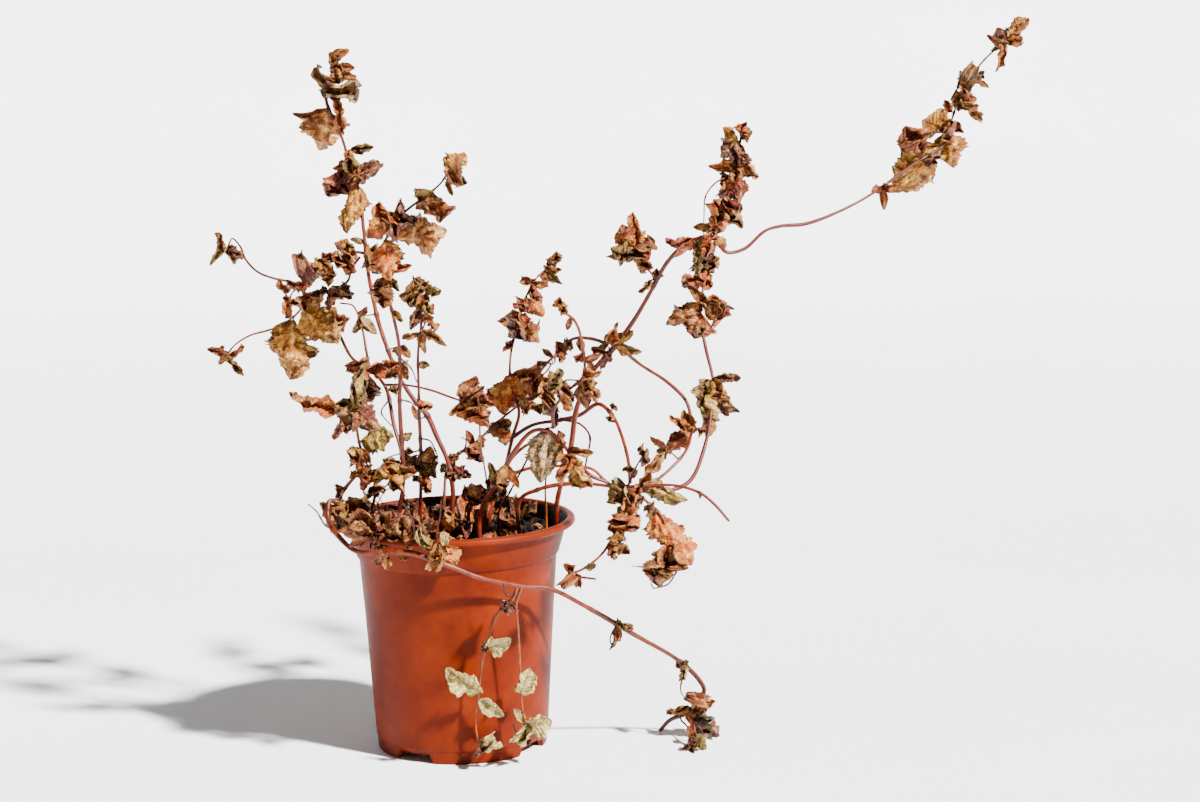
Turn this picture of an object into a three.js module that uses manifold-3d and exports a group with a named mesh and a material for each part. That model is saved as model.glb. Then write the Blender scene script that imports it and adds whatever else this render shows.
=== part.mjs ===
// A dead, dried-out mint in its plastic nursery pot, in millimetres, +Z up, with the pot standing on z = 0.
// Stems and leaves follow points seen in a front view. Each point is put at its depth by one function.
import * as THREE from "three";
import { mergeVertices } from "three/addons/utils/BufferGeometryUtils.js";
import Module from "manifold-3d";

const wasm = await Module();
wasm.setup();

// Driving sizes
const RIM_RADIUS = 65;
const POT_HEIGHT = 127.4;
const COLLAR_HEIGHT = 20.4;
const COLLAR_TOP_RADIUS = 60;
const COLLAR_FOOT_RADIUS = 55.6;
const BODY_TOP_RADIUS = 54.3;
const BODY_FOOT_RADIUS = 47.6;
const FOOT_RADIUS = 46.6;
const FOOT_HEIGHT = 7.5;
const WALL = 1.6;
const FLOOR_HEIGHT = 6.5;
const POT_SIDES = 32;
const NOTCH_ANGLES = [-32, 59, 150, 240];
const NOTCH_WIDTH = 24;
const NOTCH_HEIGHT = 5.6;
const SOIL_TOP = 117.5;
const SOIL_LUMPS = 2.4;
const SOIL_SIDES = 18;
const ROOT_DEPTH = 6;
const GAP = 0.3;
const LEAF_GAP = 0.6;
const FINEST_EDGE = 0.06;
const RESTING_HEIGHT = 1.2;

// The front view that the points below are seen in: its size and focal length in picture points,
// and its eye in millimetres from the pot's axis
const VIEW_CENTRE = [600, 401];
const VIEW_FOCAL = 2782;
const VIEW_EYE = new THREE.Vector3(79.7, -1500, 428);
const VIEW_PITCH = -9.01;
const VIEW_ROLL = -1.04;
const VIEW_SCALE = 0.5485;

// Leaf sizes
const LEAF_THICKNESS = 0.9;
const PETIOLE_RADIUS = 0.55;
const WIDEST_POINT = 0.8;
const STEM_STEP = 16;
const SAMPLES_PER_RUN = 8;
const STEM_CORNERS = 4;

// How a dried leaf has curled: angles in degrees, from the midrib out and along the midrib
const FORMS = {
  flat: { fold: 8, curl: 22, bend: 20, twist: 14 },
  cup: { fold: 14, curl: 75, bend: -45, twist: 18 },
  dome: { fold: -12, curl: -65, bend: 50, twist: -16 },
  roll: { fold: 24, curl: 84, bend: 30, twist: 32 },
  pleat: { fold: 52, curl: 24, bend: 30, twist: 12 },
  hook: { fold: 20, curl: 60, bend: 115, twist: -24 },
  ring: { fold: 12, curl: 24, bend: 250, twist: 10 },
};

const COLOURS = {
  pot: 0xc8430f,
  soil: 0x1b120c,
  stem: 0x6a2a1f,
  paleStem: 0x9a6a45,
  leaf: 0xa5641f,
  paleLeaf: 0xd8cda0,
};

// Leaves on these branches lean away from the pot
const IN_FRONT_OF_POT = ["hanger_long", "hanger_short", "stem_front_pale"];

// Branches: the node that each belongs to, its thickness at both ends in picture points, its depth behind
// the pot's axis at even steps along it, and the points that it passes. A rooted one starts in the soil.
const BRANCHES = [
  { node: "stem_tall_left", rooted: true, thick: [4.6, 2.4], depth: [12, 22, 34, 46],
    route: [[452, 512], [453, 490], [447, 460], [437, 437], [427, 415], [413, 398], [400, 378], [388, 350],
      [378, 320], [371, 287], [367, 262], [363, 225], [360, 197], [350, 165], [340, 132], [326, 100],
      [330, 80], [337, 62]] },
  { node: "branch_left_high", thick: [2.6, 1.6], depth: [34, 18, 0, -18],
    route: [[367, 254], [355, 252], [344, 256], [330, 262], [312, 274], [305, 286], [292, 282], [273, 278],
      [258, 272], [246, 260], [240, 246], [232, 238.5], [228, 247]] },
  { node: "branch_left_high", thick: [1.8, 1.4], depth: [0, -4], route: [[306, 284], [292, 293], [288, 304]] },
  { node: "branch_left_low", thick: [2.2, 1.6], depth: [32, 44, 56, 62],
    route: [[360, 257], [352, 268], [347, 282], [325, 293], [309, 301], [292, 318], [272, 329], [249, 336],
      [234, 346], [227, 356]] },
  { node: "stem_left_bent", rooted: true, thick: [4.2, 1.6], depth: [-25, -34, -46, -64],
    route: [[398, 520], [403, 485], [402, 450], [400, 410], [399, 345], [393, 315], [384, 280], [383, 248],
      [400, 217], [420, 200], [440, 184], [448, 172]] },
  { node: "stem_straight", rooted: true, thick: [3.5, 1.8], depth: [-5, -12, -18],
    route: [[420, 512], [421, 460], [419, 400], [418, 352], [421, 322], [418, 295], [413, 276]] },
  { node: "stem_left_arm", rooted: true, thick: [4, 2.4], depth: [5, 20, 45, 72],
    route: [[403, 500], [402, 455], [394, 425], [386, 388], [370, 370], [352, 358], [338, 332], [329, 318]] },
  { node: "stem_left_arm", thick: [2.4, 1.6], depth: [42, 52, 60],
    route: [[370, 370], [366, 350], [362, 328], [353, 306], [340, 303]] },
  { node: "stem_left_low", thick: [3.2, 2], depth: [-10, -26, -44],
    route: [[338, 504], [344, 490], [357, 474], [363, 465], [358, 438], [352, 398]] },
  { node: "stem_left_short", rooted: true, thick: [3, 2], depth: [5, -6, -20],
    route: [[372, 510], [375, 495], [373, 475], [365, 461]] },
  { node: "branch_middle_level", thick: [2.5, 1.6], depth: [22, -2, -30],
    route: [[384, 385], [405, 385], [430, 390], [450, 397], [468, 403]] },
  { node: "stem_middle_slant", rooted: true, thick: [3, 2], depth: [26, 45, 68],
    route: [[444, 500], [450, 462], [475, 443], [500, 420], [528, 398], [550, 381]] },
  { node: "stem_front_arch", rooted: true, thick: [4, 3], depth: [-25, -42, -46, -40],
    route: [[480, 515], [500, 478], [517, 447], [533, 431], [548, 431], [563, 445], [577, 461], [590, 475],
      [609, 483]] },
  { node: "stem_back_arch", rooted: true, thick: [3.5, 2.4], depth: [-10, -18, -27],
    route: [[485, 510], [497, 485], [512, 458], [525, 446], [538, 440]] },
  { node: "stem_middle_tall", rooted: true, thick: [3.6, 1.6], depth: [20, 36, 56, 80],
    route: [[490, 515], [502, 478], [513, 435], [519, 412], [511, 385], [511, 355], [518, 322], [529, 290],
      [540, 274], [555, 266]] },
  { node: "branch_inner_curl", thick: [2.6, 2], depth: [-44, -60, -74],
    route: [[553, 428], [554, 410], [568, 391], [583, 376], [583, 348], [575, 321], [559, 309]] },
  { node: "stem_right_rise", rooted: true, thick: [4.6, 3.4], depth: [10, 4, -8, -24, -42],
    route: [[557, 505], [562, 480], [571, 445], [577, 408], [592, 373], [616, 345], [634, 320], [650, 293],
      [670, 259], [690, 242], [713, 235]] },
  { node: "stem_right_rise", thick: [1.8, 1.2], depth: [-26, -14, -8],
    route: [[656, 284], [652, 274], [643, 265], [635, 250]] },
  { node: "runner_far_right", thick: [3.2, 1.5], depth: [-42, -24, 4, 30],
    route: [[716, 238], [726, 252], [744, 249], [765, 231], [781, 226], [805, 224], [840, 211], [873, 193],
      [912, 165], [945, 143], [951, 122], [963, 88], [985, 59], [1004, 42], [1011, 34]] },
  { node: "stem_right_sweep", thick: [3.6, 1.8], depth: [-34, -6, 34, 66, 84],
    route: [[612, 486], [640, 491], [668, 491], [690, 481], [704, 450], [711, 412], [713, 382], [705, 345],
      [700, 310], [707, 272], [714, 250], [718, 228], [730, 190], [738, 150], [741, 137]] },
  { node: "stem_right_sweep", thick: [1.6, 1.2], depth: [76, 70, 72],
    route: [[732, 177], [718, 181], [706, 195], [704, 215], [704, 236]] },
  { node: "branch_inner_sweep", thick: [3.2, 2.6], depth: [-9, 14, 14, -20, -33],
    route: [[617, 345], [640, 364], [670, 384], [686, 401], [691, 425], [686, 450], [672, 467], [652, 483],
      [640, 488]] },
  { node: "branch_back_arch", thick: [3, 2], depth: [-6, 20, 45],
    route: [[608, 344], [590, 338.5], [573, 339], [561, 350], [547, 363], [536, 377]] },
  { node: "stem_over_arch", thick: [3.5, 3], depth: [34, 18, 6, -14, -34],
    route: [[513, 437], [533, 425], [560, 420], [580, 415], [598, 404], [612, 415], [622, 437], [629, 465],
      [630, 483]] },
  { node: "stem_over_arch", thick: [2.2, 1.6], depth: [14, 8, 2],
    route: [[562, 420], [580, 424], [590, 436], [587, 458], [583, 478]] },
  { node: "stem_level_pink", rooted: true, thick: [3.2, 2.6], depth: [0, -14, -28, -34],
    route: [[470, 508], [495, 487], [520, 471], [545, 466.5], [575, 466.5], [592, 469], [607, 482]] },
  { node: "stem_low_right", rooted: true, thick: [3.8, 3], depth: [-20, -28, -36],
    route: [[520, 500], [537, 490], [560, 484.5], [590, 484], [608, 486]] },
  { node: "branch_low_tail", thick: [2.8, 2.2], depth: [-37, -44, -52],
    route: [[624, 487], [645, 486], [675, 485.5], [700, 493], [715, 505], [729, 521]] },
  { node: "branch_low_tail", thick: [2, 1.4], depth: [-38, -46], route: [[628, 486], [635, 469], [645, 452]] },
  { node: "shoot_down_left", thick: [3.2, 1.8], depth: [-37, -52, -62],
    route: [[625, 488], [624, 507], [616, 532], [602, 554], [585, 568], [571, 575], [580, 577], [596, 579]] },
  { node: "petiole_right", thick: [2.6, 1.8], depth: [-38, -46, -52],
    route: [[634, 489], [645, 500], [662, 517], [668, 540], [662, 560]] },
  { node: "stem_thin_pale", rooted: true, thick: [2, 1.4], depth: [4, -14, -30],
    route: [[546, 512], [546, 475], [549, 455], [552, 438]] },
  { node: "stem_thin_grey", rooted: true, thick: [2, 1.4], depth: [12, 20, 30],
    route: [[487, 505], [487, 485], [481, 445], [479, 410]] },
  { node: "stem_thin_dark", rooted: true, thick: [2, 1.6], depth: [-12, -26, -38],
    route: [[499, 512], [510, 492], [528, 458], [536, 443]] },
  { node: "stem_trailing", rooted: true, thick: [4.8, 3.6],
    depth: [-8, -24, -56, -69, -66, -52, -36, -22, -10, 0, 10],
    route: [[362, 524], [345, 508], [330, 501], [328, 518], [341, 539], [358, 552], [380, 553], [410, 553],
      [446, 565], [480, 578], [520, 586], [550, 589], [585, 606], [635, 635], [678, 660], [699, 680],
      [704, 691], [692, 710], [670, 720], [660, 731]] },
  { node: "stem_trailing", thick: [2, 1.6], depth: [0, -12, -28], route: [[692, 710], [691, 728], [697, 746]] },
  { node: "stem_front_pale", thick: [2.2, 1.6], depth: [-44, -67, -70],
    route: [[403, 510], [398, 529], [415, 539], [445, 545], [458, 548]] },
  { node: "hanger_long", thick: [2.2, 1.4], depth: [-66, -62, -57, -54],
    route: [[517, 588], [513, 598], [498, 614], [488, 640], [482, 665], [479, 690], [476, 725], [479, 749]] },
  { node: "hanger_short", thick: [2.2, 1.4], depth: [-60, -58, -54, -52],
    route: [[521, 588], [516, 602], [518, 630], [520, 670], [522, 705], [525, 724]] },
];

// Leaves fused to the branch that they grow from: base, tip and width in picture points, and the form
const SMALL_LEAVES = {
  stem_tall_left: [
    [334, 66, 349, 50, 10, "hook"], [333, 80, 322, 68, 14, "ring"], [333, 85, 356, 103, 14, "roll"],
    [333, 95, 344, 135, 9, "pleat"], [350, 150, 360, 182, 8, "pleat"], [355, 178, 380, 163, 14, "hook"],
    [350, 165, 356, 190, 10, "roll"], [338, 66, 355, 68, 9, "flat"], [366, 251, 380, 274, 17, "dome"],
    [399, 366, 385, 377, 14, "cup"], [400, 346, 410, 358, 10, "flat"],
  ],
  branch_left_high: [
    [352, 251, 334, 243, 12, "dome"], [343, 256, 345, 275, 12, "roll"], [312, 274, 302, 254, 16, "ring"],
    [326, 264, 328, 287, 12, "cup"],
    [226, 248, 210, 266, 7, "pleat"],
    [292, 300, 289, 318, 9, "hook"],
  ],
  branch_left_low: [
    [312, 298, 320, 308, 15, "dome"], [328, 291, 329, 310, 8, "pleat"],
    [342, 286, 330, 305, 13, "cup"], [227, 355, 207, 349, 6, "pleat"], [228, 356, 244, 376, 7, "pleat"],
  ],
  stem_left_bent: [
    [448, 173, 464, 152, 15, "dome"], [433, 192, 440, 223, 19, "cup"],
    [396, 220, 367, 238, 18, "dome"], [388, 275, 412, 265, 8, "pleat"], [399, 362, 408, 380, 9, "flat"],
    [402, 465, 395, 490, 12, "roll"],
  ],
  stem_straight: [
    [414, 279, 441, 292, 10, "pleat"], [415, 284, 421, 306, 8, "roll"], [418, 297, 403, 300, 10, "cup"],
    [419, 305, 411, 330, 7, "pleat"], [420, 332, 447, 346, 7, "pleat"],
    [421, 468, 431, 446, 14, "dome"], [421, 475, 432, 492, 10, "roll"],
    [424, 462, 437, 478, 9, "cup"],
  ],
  stem_left_arm: [
    [330, 320, 350, 318, 16, "cup"], [368, 366, 360, 403, 17, "roll"], [358, 318, 377, 334, 8, "flat"],
    [402, 452, 410, 468, 9, "flat"],
  ],
  stem_left_low: [
    [352, 405, 380, 430, 16, "dome"], [353, 408, 333, 404, 8, "roll"], [350, 411, 289, 392, 12, "pleat"],
    [352, 412, 334, 440, 7, "pleat"], [361, 460, 348, 452, 12, "cup"], [361, 448, 371, 463, 9, "flat"],
    [360, 472, 363, 490, 8, "roll"],
  ],
  stem_left_short: [[373, 470, 392, 477, 16, "dome"]],
  branch_middle_level: [[466, 402, 495, 406, 12, "cup"], [462, 401, 489, 428, 13, "roll"]],
  stem_middle_slant: [
    [476, 443, 482, 461, 11, "roll"], [497, 422, 505, 446, 18, "dome"],
    [449, 464, 463, 476, 13, "cup"], [550, 381, 543, 415, 13, "roll"], [548, 382, 568, 395, 12, "cup"],
  ],
  stem_front_arch: [
    [507, 465, 519, 488, 9, "flat"], [556, 437, 567, 443, 10, "cup"],
    [570, 454, 562, 485, 9, "roll"], [572, 456, 581, 490, 10, "dome"],
  ],
  stem_back_arch: [[487, 500, 478, 488, 17, "dome"], [496, 487, 489, 462, 10, "flat"]],
  stem_middle_tall: [
    [522, 314, 497, 321, 14, "flat"], [518, 324, 539, 343, 18, "dome"], [534, 282, 534, 303, 10, "roll"],
    [527, 298, 543, 317, 15, "dome"], [556, 266, 556, 251, 11, "cup"], [546, 271, 563, 284, 9, "flat"],
  ],
  branch_inner_curl: [
    [560, 310, 560, 297, 10, "cup"], [560, 399, 573, 409, 13, "dome"], [577, 384, 600, 397, 9, "roll"],
  ],
  stem_right_rise: [
    [614, 346, 618, 322, 8, "pleat"], [606, 352, 600, 370, 7, "flat"], [617, 345, 642, 352, 9, "flat"],
    [637, 254, 622, 224, 19, "dome"], [637, 254, 612, 258, 13, "flat"],
    [636, 250, 633, 212, 9, "pleat"],
    [694, 240, 697, 275, 9, "pleat"], [704, 237, 706, 258, 9, "roll"],
  ],
  runner_far_right: [
    [950, 122, 955, 143, 10, "roll"], [958, 100, 977, 99, 12, "flat"], [959, 104, 982, 121, 9, "pleat"],
    [966, 82, 957, 79, 11, "cup"], [967, 84, 976, 68, 14, "ring"], [970, 78, 989, 88, 7, "flat"],
    [1005, 42, 995, 72, 6, "pleat"], [1006, 40, 1028, 18, 14, "dome"], [884, 187, 884, 210, 8, "flat"],
  ],
  stem_right_sweep: [
    [741, 137, 747, 122, 14, "cup"], [738, 141, 720, 157, 16, "dome"],
    [737, 158, 759, 177, 9, "pleat"], [735, 164, 708, 166, 12, "flat"], [734, 168, 729, 185, 9, "roll"],
    [732, 179, 740, 204, 15, "dome"], [726, 205, 716, 234, 14, "roll"], [726, 206, 742, 229, 14, "cup"],
    [716, 226, 693, 227, 9, "flat"], [713, 256, 700, 272, 12, "cup"], [707, 272, 682, 286, 11, "roll"],
    [701, 302, 666, 325, 15, "dome"], [713, 380, 702, 427, 13, "roll"], [712, 396, 729, 416, 9, "flat"],
    [714, 398, 740, 412, 9, "flat"],
  ],
  branch_inner_sweep: [[690, 434, 662, 452, 14, "dome"], [665, 447, 650, 436, 7, "flat"]],
  branch_back_arch: [
    [565, 344, 557, 356, 10, "roll"],
  ],
  branch_low_tail: [
    [640, 486, 688, 500, 12, "dome"],
  ],
  shoot_down_left: [
    [624, 505, 636, 532, 15, "dome"], [625, 494, 628, 514, 13, "flat"], [620, 522, 619, 541, 8, "roll"],
    [612, 540, 630, 554, 10, "cup"], [574, 576, 562, 584, 10, "ring"],
  ],
  petiole_right: [[654, 508, 657, 523, 12, "flat"]],
  stem_trailing: [
    [335, 506, 322, 516, 13, "cup"], [345, 510, 361, 500, 12, "dome"], [384, 553, 388, 570, 10, "flat"],
    [440, 563, 461, 549, 15, "dome"], [617, 625, 610, 648, 6, "pleat"],
    [700, 700, 686, 696, 13, "ring"], [694, 708, 690, 724, 14, "dome"], [694, 708, 717, 732, 12, "roll"],
    [692, 710, 698, 740, 9, "flat"],
  ],
  stem_front_pale: [[415, 539, 432, 546, 9, "roll"]],
  hanger_long: [
    [487, 648, 511, 639, 18, "flat"], [479, 700, 504, 716, 14, "flat"], [478, 742, 503, 747, 15, "dome"],
  ],
  hanger_short: [
    [520, 693, 529, 668, 20, "flat"], [525, 724, 526, 746, 12, "roll"],
  ],
};

// The biggest leaves, a node each: the branch's node, base, tip and width in picture points, and the form
const BIG_LEAVES = [
  ["leaf_top_left", "stem_tall_left", 327, 108, 319, 150, 30, "dome"],
  ["leaf_left_cup", "stem_tall_left", 344, 166, 328, 197, 22, "cup"],
  ["leaf_left_saw", "stem_tall_left", 358, 186, 347, 234, 17, "dome"],
  ["leaf_dark_middle", "stem_left_bent", 388, 221, 414, 226, 21, "cup"],
  ["leaf_netted", "stem_left_bent", 396, 238, 447, 230, 26, "dome"],
  ["leaf_middle_drop", "stem_left_bent", 384, 240, 391, 281, 20, "dome"],
  ["leaf_tan_cup", "stem_left_bent", 384, 277, 383, 309, 20, "cup"],
  ["leaf_cluster_round", "branch_left_low", 304, 308, 338, 344, 26, "dome"],
  ["leaf_cluster_long", "branch_left_low", 294, 320, 290, 380, 30, "dome"],
  ["leaf_left_olive", "stem_left_low", 361, 441, 394, 437, 20, "dome"],
  ["leaf_brown_left", "stem_middle_tall", 511, 374, 503, 415, 26, "dome"],
  ["leaf_brown_right", "stem_middle_tall", 512, 374, 544, 392, 26, "cup"],
  ["leaf_grey_hanging", "branch_inner_curl", 546, 428, 541, 483, 22, "dome"],
  ["leaf_sweep_right", "stem_right_sweep", 702, 302, 732, 315, 18, "cup"],
  ["leaf_sweep_down", "stem_right_sweep", 702, 314, 694, 339, 23, "dome"],
  ["leaf_far_long", "runner_far_right", 941, 146, 889, 192, 25, "dome"],
  ["leaf_far_dark", "runner_far_right", 921, 156, 905, 126, 23, "cup"],
  ["leaf_far_crown", "runner_far_right", 948, 128, 922, 120, 20, "dome"],
  ["leaf_far_gold", "runner_far_right", 949, 130, 953, 168, 22, "dome"],
  ["leaf_junction_olive", "branch_low_tail", 626, 485, 606, 502, 22, "cup"],
  ["leaf_fan_left", "petiole_right", 655, 514, 674, 549, 22, "dome"],
  ["leaf_fan_low", "petiole_right", 666, 544, 660, 588, 28, "cup"],
  ["leaf_fan_right", "petiole_right", 668, 536, 692, 565, 21, "dome"],
  ["leaf_front_left", "hanger_long", 480, 692, 446, 668, 24, "flat"],
  ["leaf_front_right", "hanger_short", 524, 726, 552, 721, 24, "flat"],
  ["leaf_trailing_end", "stem_trailing", 698, 741, 690, 753, 15, "flat"],
];

const radians = THREE.MathUtils.degToRad;

// A fixed fraction between 0 and 1 for each pair of numbers, so that each leaf is its own but never changes
function chance(first, second) {
  const wave = Math.sin(first * 12.9898 + second * 78.233) * 43758.5453;
  return wave - Math.floor(wave);
}

// The point of space seen at a point of the front view, at a depth behind the pot's axis
function toSpace([across, down], depth) {
  const pitch = radians(VIEW_PITCH);
  const roll = radians(VIEW_ROLL);
  const forward = new THREE.Vector3(0, Math.cos(pitch), Math.sin(pitch));
  const level = new THREE.Vector3(1, 0, 0);
  const upright = level.clone().cross(forward);
  const right = level.clone().multiplyScalar(Math.cos(roll)).addScaledVector(upright, Math.sin(roll));
  const up = upright.clone().multiplyScalar(Math.cos(roll)).addScaledVector(level, -Math.sin(roll));
  const ray = forward.clone();
  ray.addScaledVector(right, (across - VIEW_CENTRE[0]) / VIEW_FOCAL);
  ray.addScaledVector(up, (VIEW_CENTRE[1] - down) / VIEW_FOCAL);
  return VIEW_EYE.clone().addScaledVector(ray, (depth - VIEW_EYE.y) / ray.y);
}

// The value at a share of the way through a list of evenly spaced values
function along(values, share) {
  const place = share * (values.length - 1);
  const before = Math.min(Math.floor(place), values.length - 2);
  return THREE.MathUtils.lerp(values[before], values[before + 1], place - before);
}

// The branch's points in space, with its root under the soil where it has one, and its curve
function traceBranch(branch) {
  const lengths = [0];
  for (let i = 1; i < branch.route.length; i += 1) {
    const [x0, y0] = branch.route[i - 1];
    const [x1, y1] = branch.route[i];
    lengths.push(lengths[i - 1] + Math.hypot(x1 - x0, y1 - y0));
  }
  const total = lengths[lengths.length - 1];
  const places = branch.route.map((point, i) => toSpace(point, along(branch.depth, lengths[i] / total)));
  const trunk = BRANCHES.find((earlier) => earlier.node === branch.node && earlier.curve);
  if (trunk) {
    places[0] = nearestOnNode(branch.node, branch.route[0]);
  }
  if (branch.rooted) {
    const root = places[0].clone();
    root.z = SOIL_TOP - ROOT_DEPTH;
    places.unshift(root);
  }
  return new THREE.CatmullRomCurve3(places, false, "centripetal");
}

// A three.js shape with each point moved by a function, as one closed solid
function bentSolid(geometry, move) {
  geometry.deleteAttribute("normal");
  geometry.deleteAttribute("uv");
  const merged = mergeVertices(geometry, 1e-5);
  const position = merged.attributes.position;
  const point = new THREE.Vector3();
  for (let i = 0; i < position.count; i += 1) {
    point.fromBufferAttribute(position, i);
    move(point);
    position.setXYZ(i, point.x, point.y, point.z);
  }
  return toSolid(mergeVertices(merged, 1e-5));
}

function toSolid(geometry) {
  const mesh = new wasm.Mesh({
    numProp: 3,
    vertProperties: new Float32Array(geometry.attributes.position.array),
    triVerts: new Uint32Array(geometry.index.array),
    tolerance: FINEST_EDGE,
  });
  mesh.merge();
  return new wasm.Manifold(mesh);
}

function stemSteps(curve) {
  return Math.max(2, Math.round(curve.getLength() / STEM_STEP));
}

// A square stem along its curve, thinning from root to tip
function stemSolid(branch, swell) {
  const curve = branch.curve;
  const steps = stemSteps(curve);
  const frames = curve.computeFrenetFrames(steps, false);
  const rod = new THREE.CylinderGeometry(1, 1, 1, STEM_CORNERS, steps);
  return bentSolid(rod, (point) => {
    const share = 0.5 - point.y;
    const ring = Math.round(share * steps);
    const radius = along(branch.thick, share) * 0.5 * VIEW_SCALE + swell;
    const centre = curve.getPointAt(ring / steps);
    const sideways = point.x * radius;
    const outward = point.z * radius;
    point.copy(centre);
    point.addScaledVector(frames.normals[ring], sideways);
    point.addScaledVector(frames.binormals[ring], outward);
    point.addScaledVector(frames.tangents[ring], (share > 0.99 ? swell : 0) - (share < 0.01 ? swell : 0));
  });
}

// The nearest point, on the straight runs of a node's branches, to a point of the front view
function nearestOnNode(node, spot) {
  let best = null;
  let least = Infinity;
  for (const branch of BRANCHES.filter((entry) => entry.node === node && entry.curve)) {
    const corners = branch.curve.getSpacedPoints(stemSteps(branch.curve));
    for (let place = 1; place < (corners.length - 1) * SAMPLES_PER_RUN; place += 1) {
      const run = Math.min(Math.floor(place / SAMPLES_PER_RUN), corners.length - 2);
      const point = corners[run].clone().lerp(corners[run + 1], place / SAMPLES_PER_RUN - run);
      const distance = toSpace(spot, point.y).distanceTo(point);
      if (distance < least) {
        least = distance;
        best = point;
      }
    }
  }
  return best;
}

// How far across a curled half of a leaf reaches, as a share of its flat width
function curledReach(fold, curl) {
  let reach = 0;
  for (let v = 0.1; v <= 1.001; v += 0.1) {
    reach = Math.max(reach, (Math.sin(fold + curl * v) - Math.sin(fold)) / curl);
  }
  return reach;
}

// A ball of rings and corners whose far half is split along the same diagonals as its near half, so that the
// two sides of a thin leaf bend alike and never pass through each other
function leafBall(corners, rings) {
  const ball = new THREE.SphereGeometry(1, corners, rings);
  const faces = [];
  for (let ring = 0; ring < rings; ring += 1) {
    for (let corner = 0; corner < corners; corner += 1) {
      const here = ring * (corners + 1) + corner;
      const [a, b, c, d] = [here + 1, here, here + corners + 1, here + corners + 2];
      if (ring === 0) {
        faces.push(b, c, d);
      } else if (ring === rings - 1) {
        faces.push(a, b, d);
      } else if (corner < corners / 2) {
        faces.push(a, b, d, b, c, d);
      } else {
        faces.push(a, b, c, a, c, d);
      }
    }
  }
  ball.setIndex(faces);
  return ball;
}

// A dried leaf: its midrib is an arc from base to tip, and each cross-section a curl about the midrib that
// opens at the base, is widest below the middle and closes at the tip. A thin stalk joins it to its branch.
function leafSolid(node, row, seed, rings, corners, swell) {
  const [baseX, baseY, tipX, tipY, width, formName] = row;
  const form = FORMS[formName];
  const stalk = nearestOnNode(node, [baseX, baseY]);
  const length = Math.hypot(tipX - baseX, tipY - baseY) * VIEW_SCALE;
  const lean = (chance(seed, 1) - 0.5) * 0.9 * length;
  const toward = IN_FRONT_OF_POT.includes(node) ? -Math.abs(lean) : lean;
  const base = toSpace([baseX, baseY], stalk.y + toward * 0.1);
  const tip = toSpace([tipX, tipY], stalk.y + toward);
  tip.z = Math.max(tip.z, RESTING_HEIGHT);
  const turn = radians((chance(seed, 2) - 0.5) * 50);
  const fold = radians(form.fold);
  const curl = radians(form.curl);
  const bend = radians(form.bend);
  const twist = radians(form.twist) * (chance(seed, 3) < 0.5 ? -1 : 1);
  const axis = tip.clone().sub(base);
  const chord = axis.length();
  axis.normalize();
  const facing = new THREE.Vector3(0, -1, 0);
  facing.addScaledVector(axis, -facing.dot(axis)).normalize();
  const side = axis.clone().cross(facing);
  const normal = facing.clone().multiplyScalar(Math.cos(turn)).addScaledVector(side, Math.sin(turn));
  const across = normal.clone().cross(axis);
  const arcRadius = chord / (2 * Math.sin(bend / 2));
  const halfWidth = (width * VIEW_SCALE * 0.5) / Math.abs(curledReach(Math.abs(fold), Math.abs(curl)));
  return bentSolid(leafBall(corners, rings), (point) => {
    const ring = Math.round((Math.acos(THREE.MathUtils.clamp(point.y, -1, 1)) / Math.PI) * rings);
    if (ring === 0) {
      point.copy(stalk).addScaledVector(axis, -swell);
      return;
    }
    const belt = Math.sin((ring / rings) * Math.PI);
    const v = ring === rings ? 0 : point.x / belt;
    const lift = ring === rings ? 0 : point.z / belt;
    const u = (ring - 1) / (rings - 1);
    const spread = Math.sin(Math.PI * u ** WIDEST_POINT) ** 0.85;
    const half = Math.max(PETIOLE_RADIUS, halfWidth * spread) + swell;
    const thick = (LEAF_THICKNESS * 0.5 * (0.6 + 0.4 * spread) + swell) * lift;
    const turned = bend * (u - 0.5);
    const forward = arcRadius * (Math.sin(turned) + Math.sin(bend / 2));
    const rise = arcRadius * (Math.cos(turned) - Math.cos(bend / 2));
    const angle = fold + curl * Math.abs(v);
    const reach = (half * (Math.sin(angle) - Math.sin(fold))) / curl;
    const cup = (half * (Math.cos(fold) - Math.cos(angle))) / curl;
    const spin = twist * (u - 0.5) * 2;
    const ribNormal = normal.clone().multiplyScalar(Math.cos(turned)).addScaledVector(axis, Math.sin(turned));
    const localSide = across.clone().multiplyScalar(Math.cos(spin)).addScaledVector(ribNormal, Math.sin(spin));
    const localUp = ribNormal.clone().multiplyScalar(Math.cos(spin)).addScaledVector(across, -Math.sin(spin));
    const sign = Math.abs(v) < 0.01 ? 0 : Math.sign(v);
    const wave = Math.sin(6.3 * (1.5 * u + chance(seed, 4)) + sign) * 0.14 * half * v * v;
    point.copy(base).addScaledVector(axis, forward).addScaledVector(normal, rise);
    point.addScaledVector(localSide, sign * reach - sign * Math.sin(angle) * thick);
    point.addScaledVector(localUp, cup + wave + Math.cos(angle) * thick);
    point.z = Math.max(point.z, RESTING_HEIGHT * (0.5 + 0.4 * lift));
    if (ring === rings) {
      point.addScaledVector(axis, swell);
    }
  });
}

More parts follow.
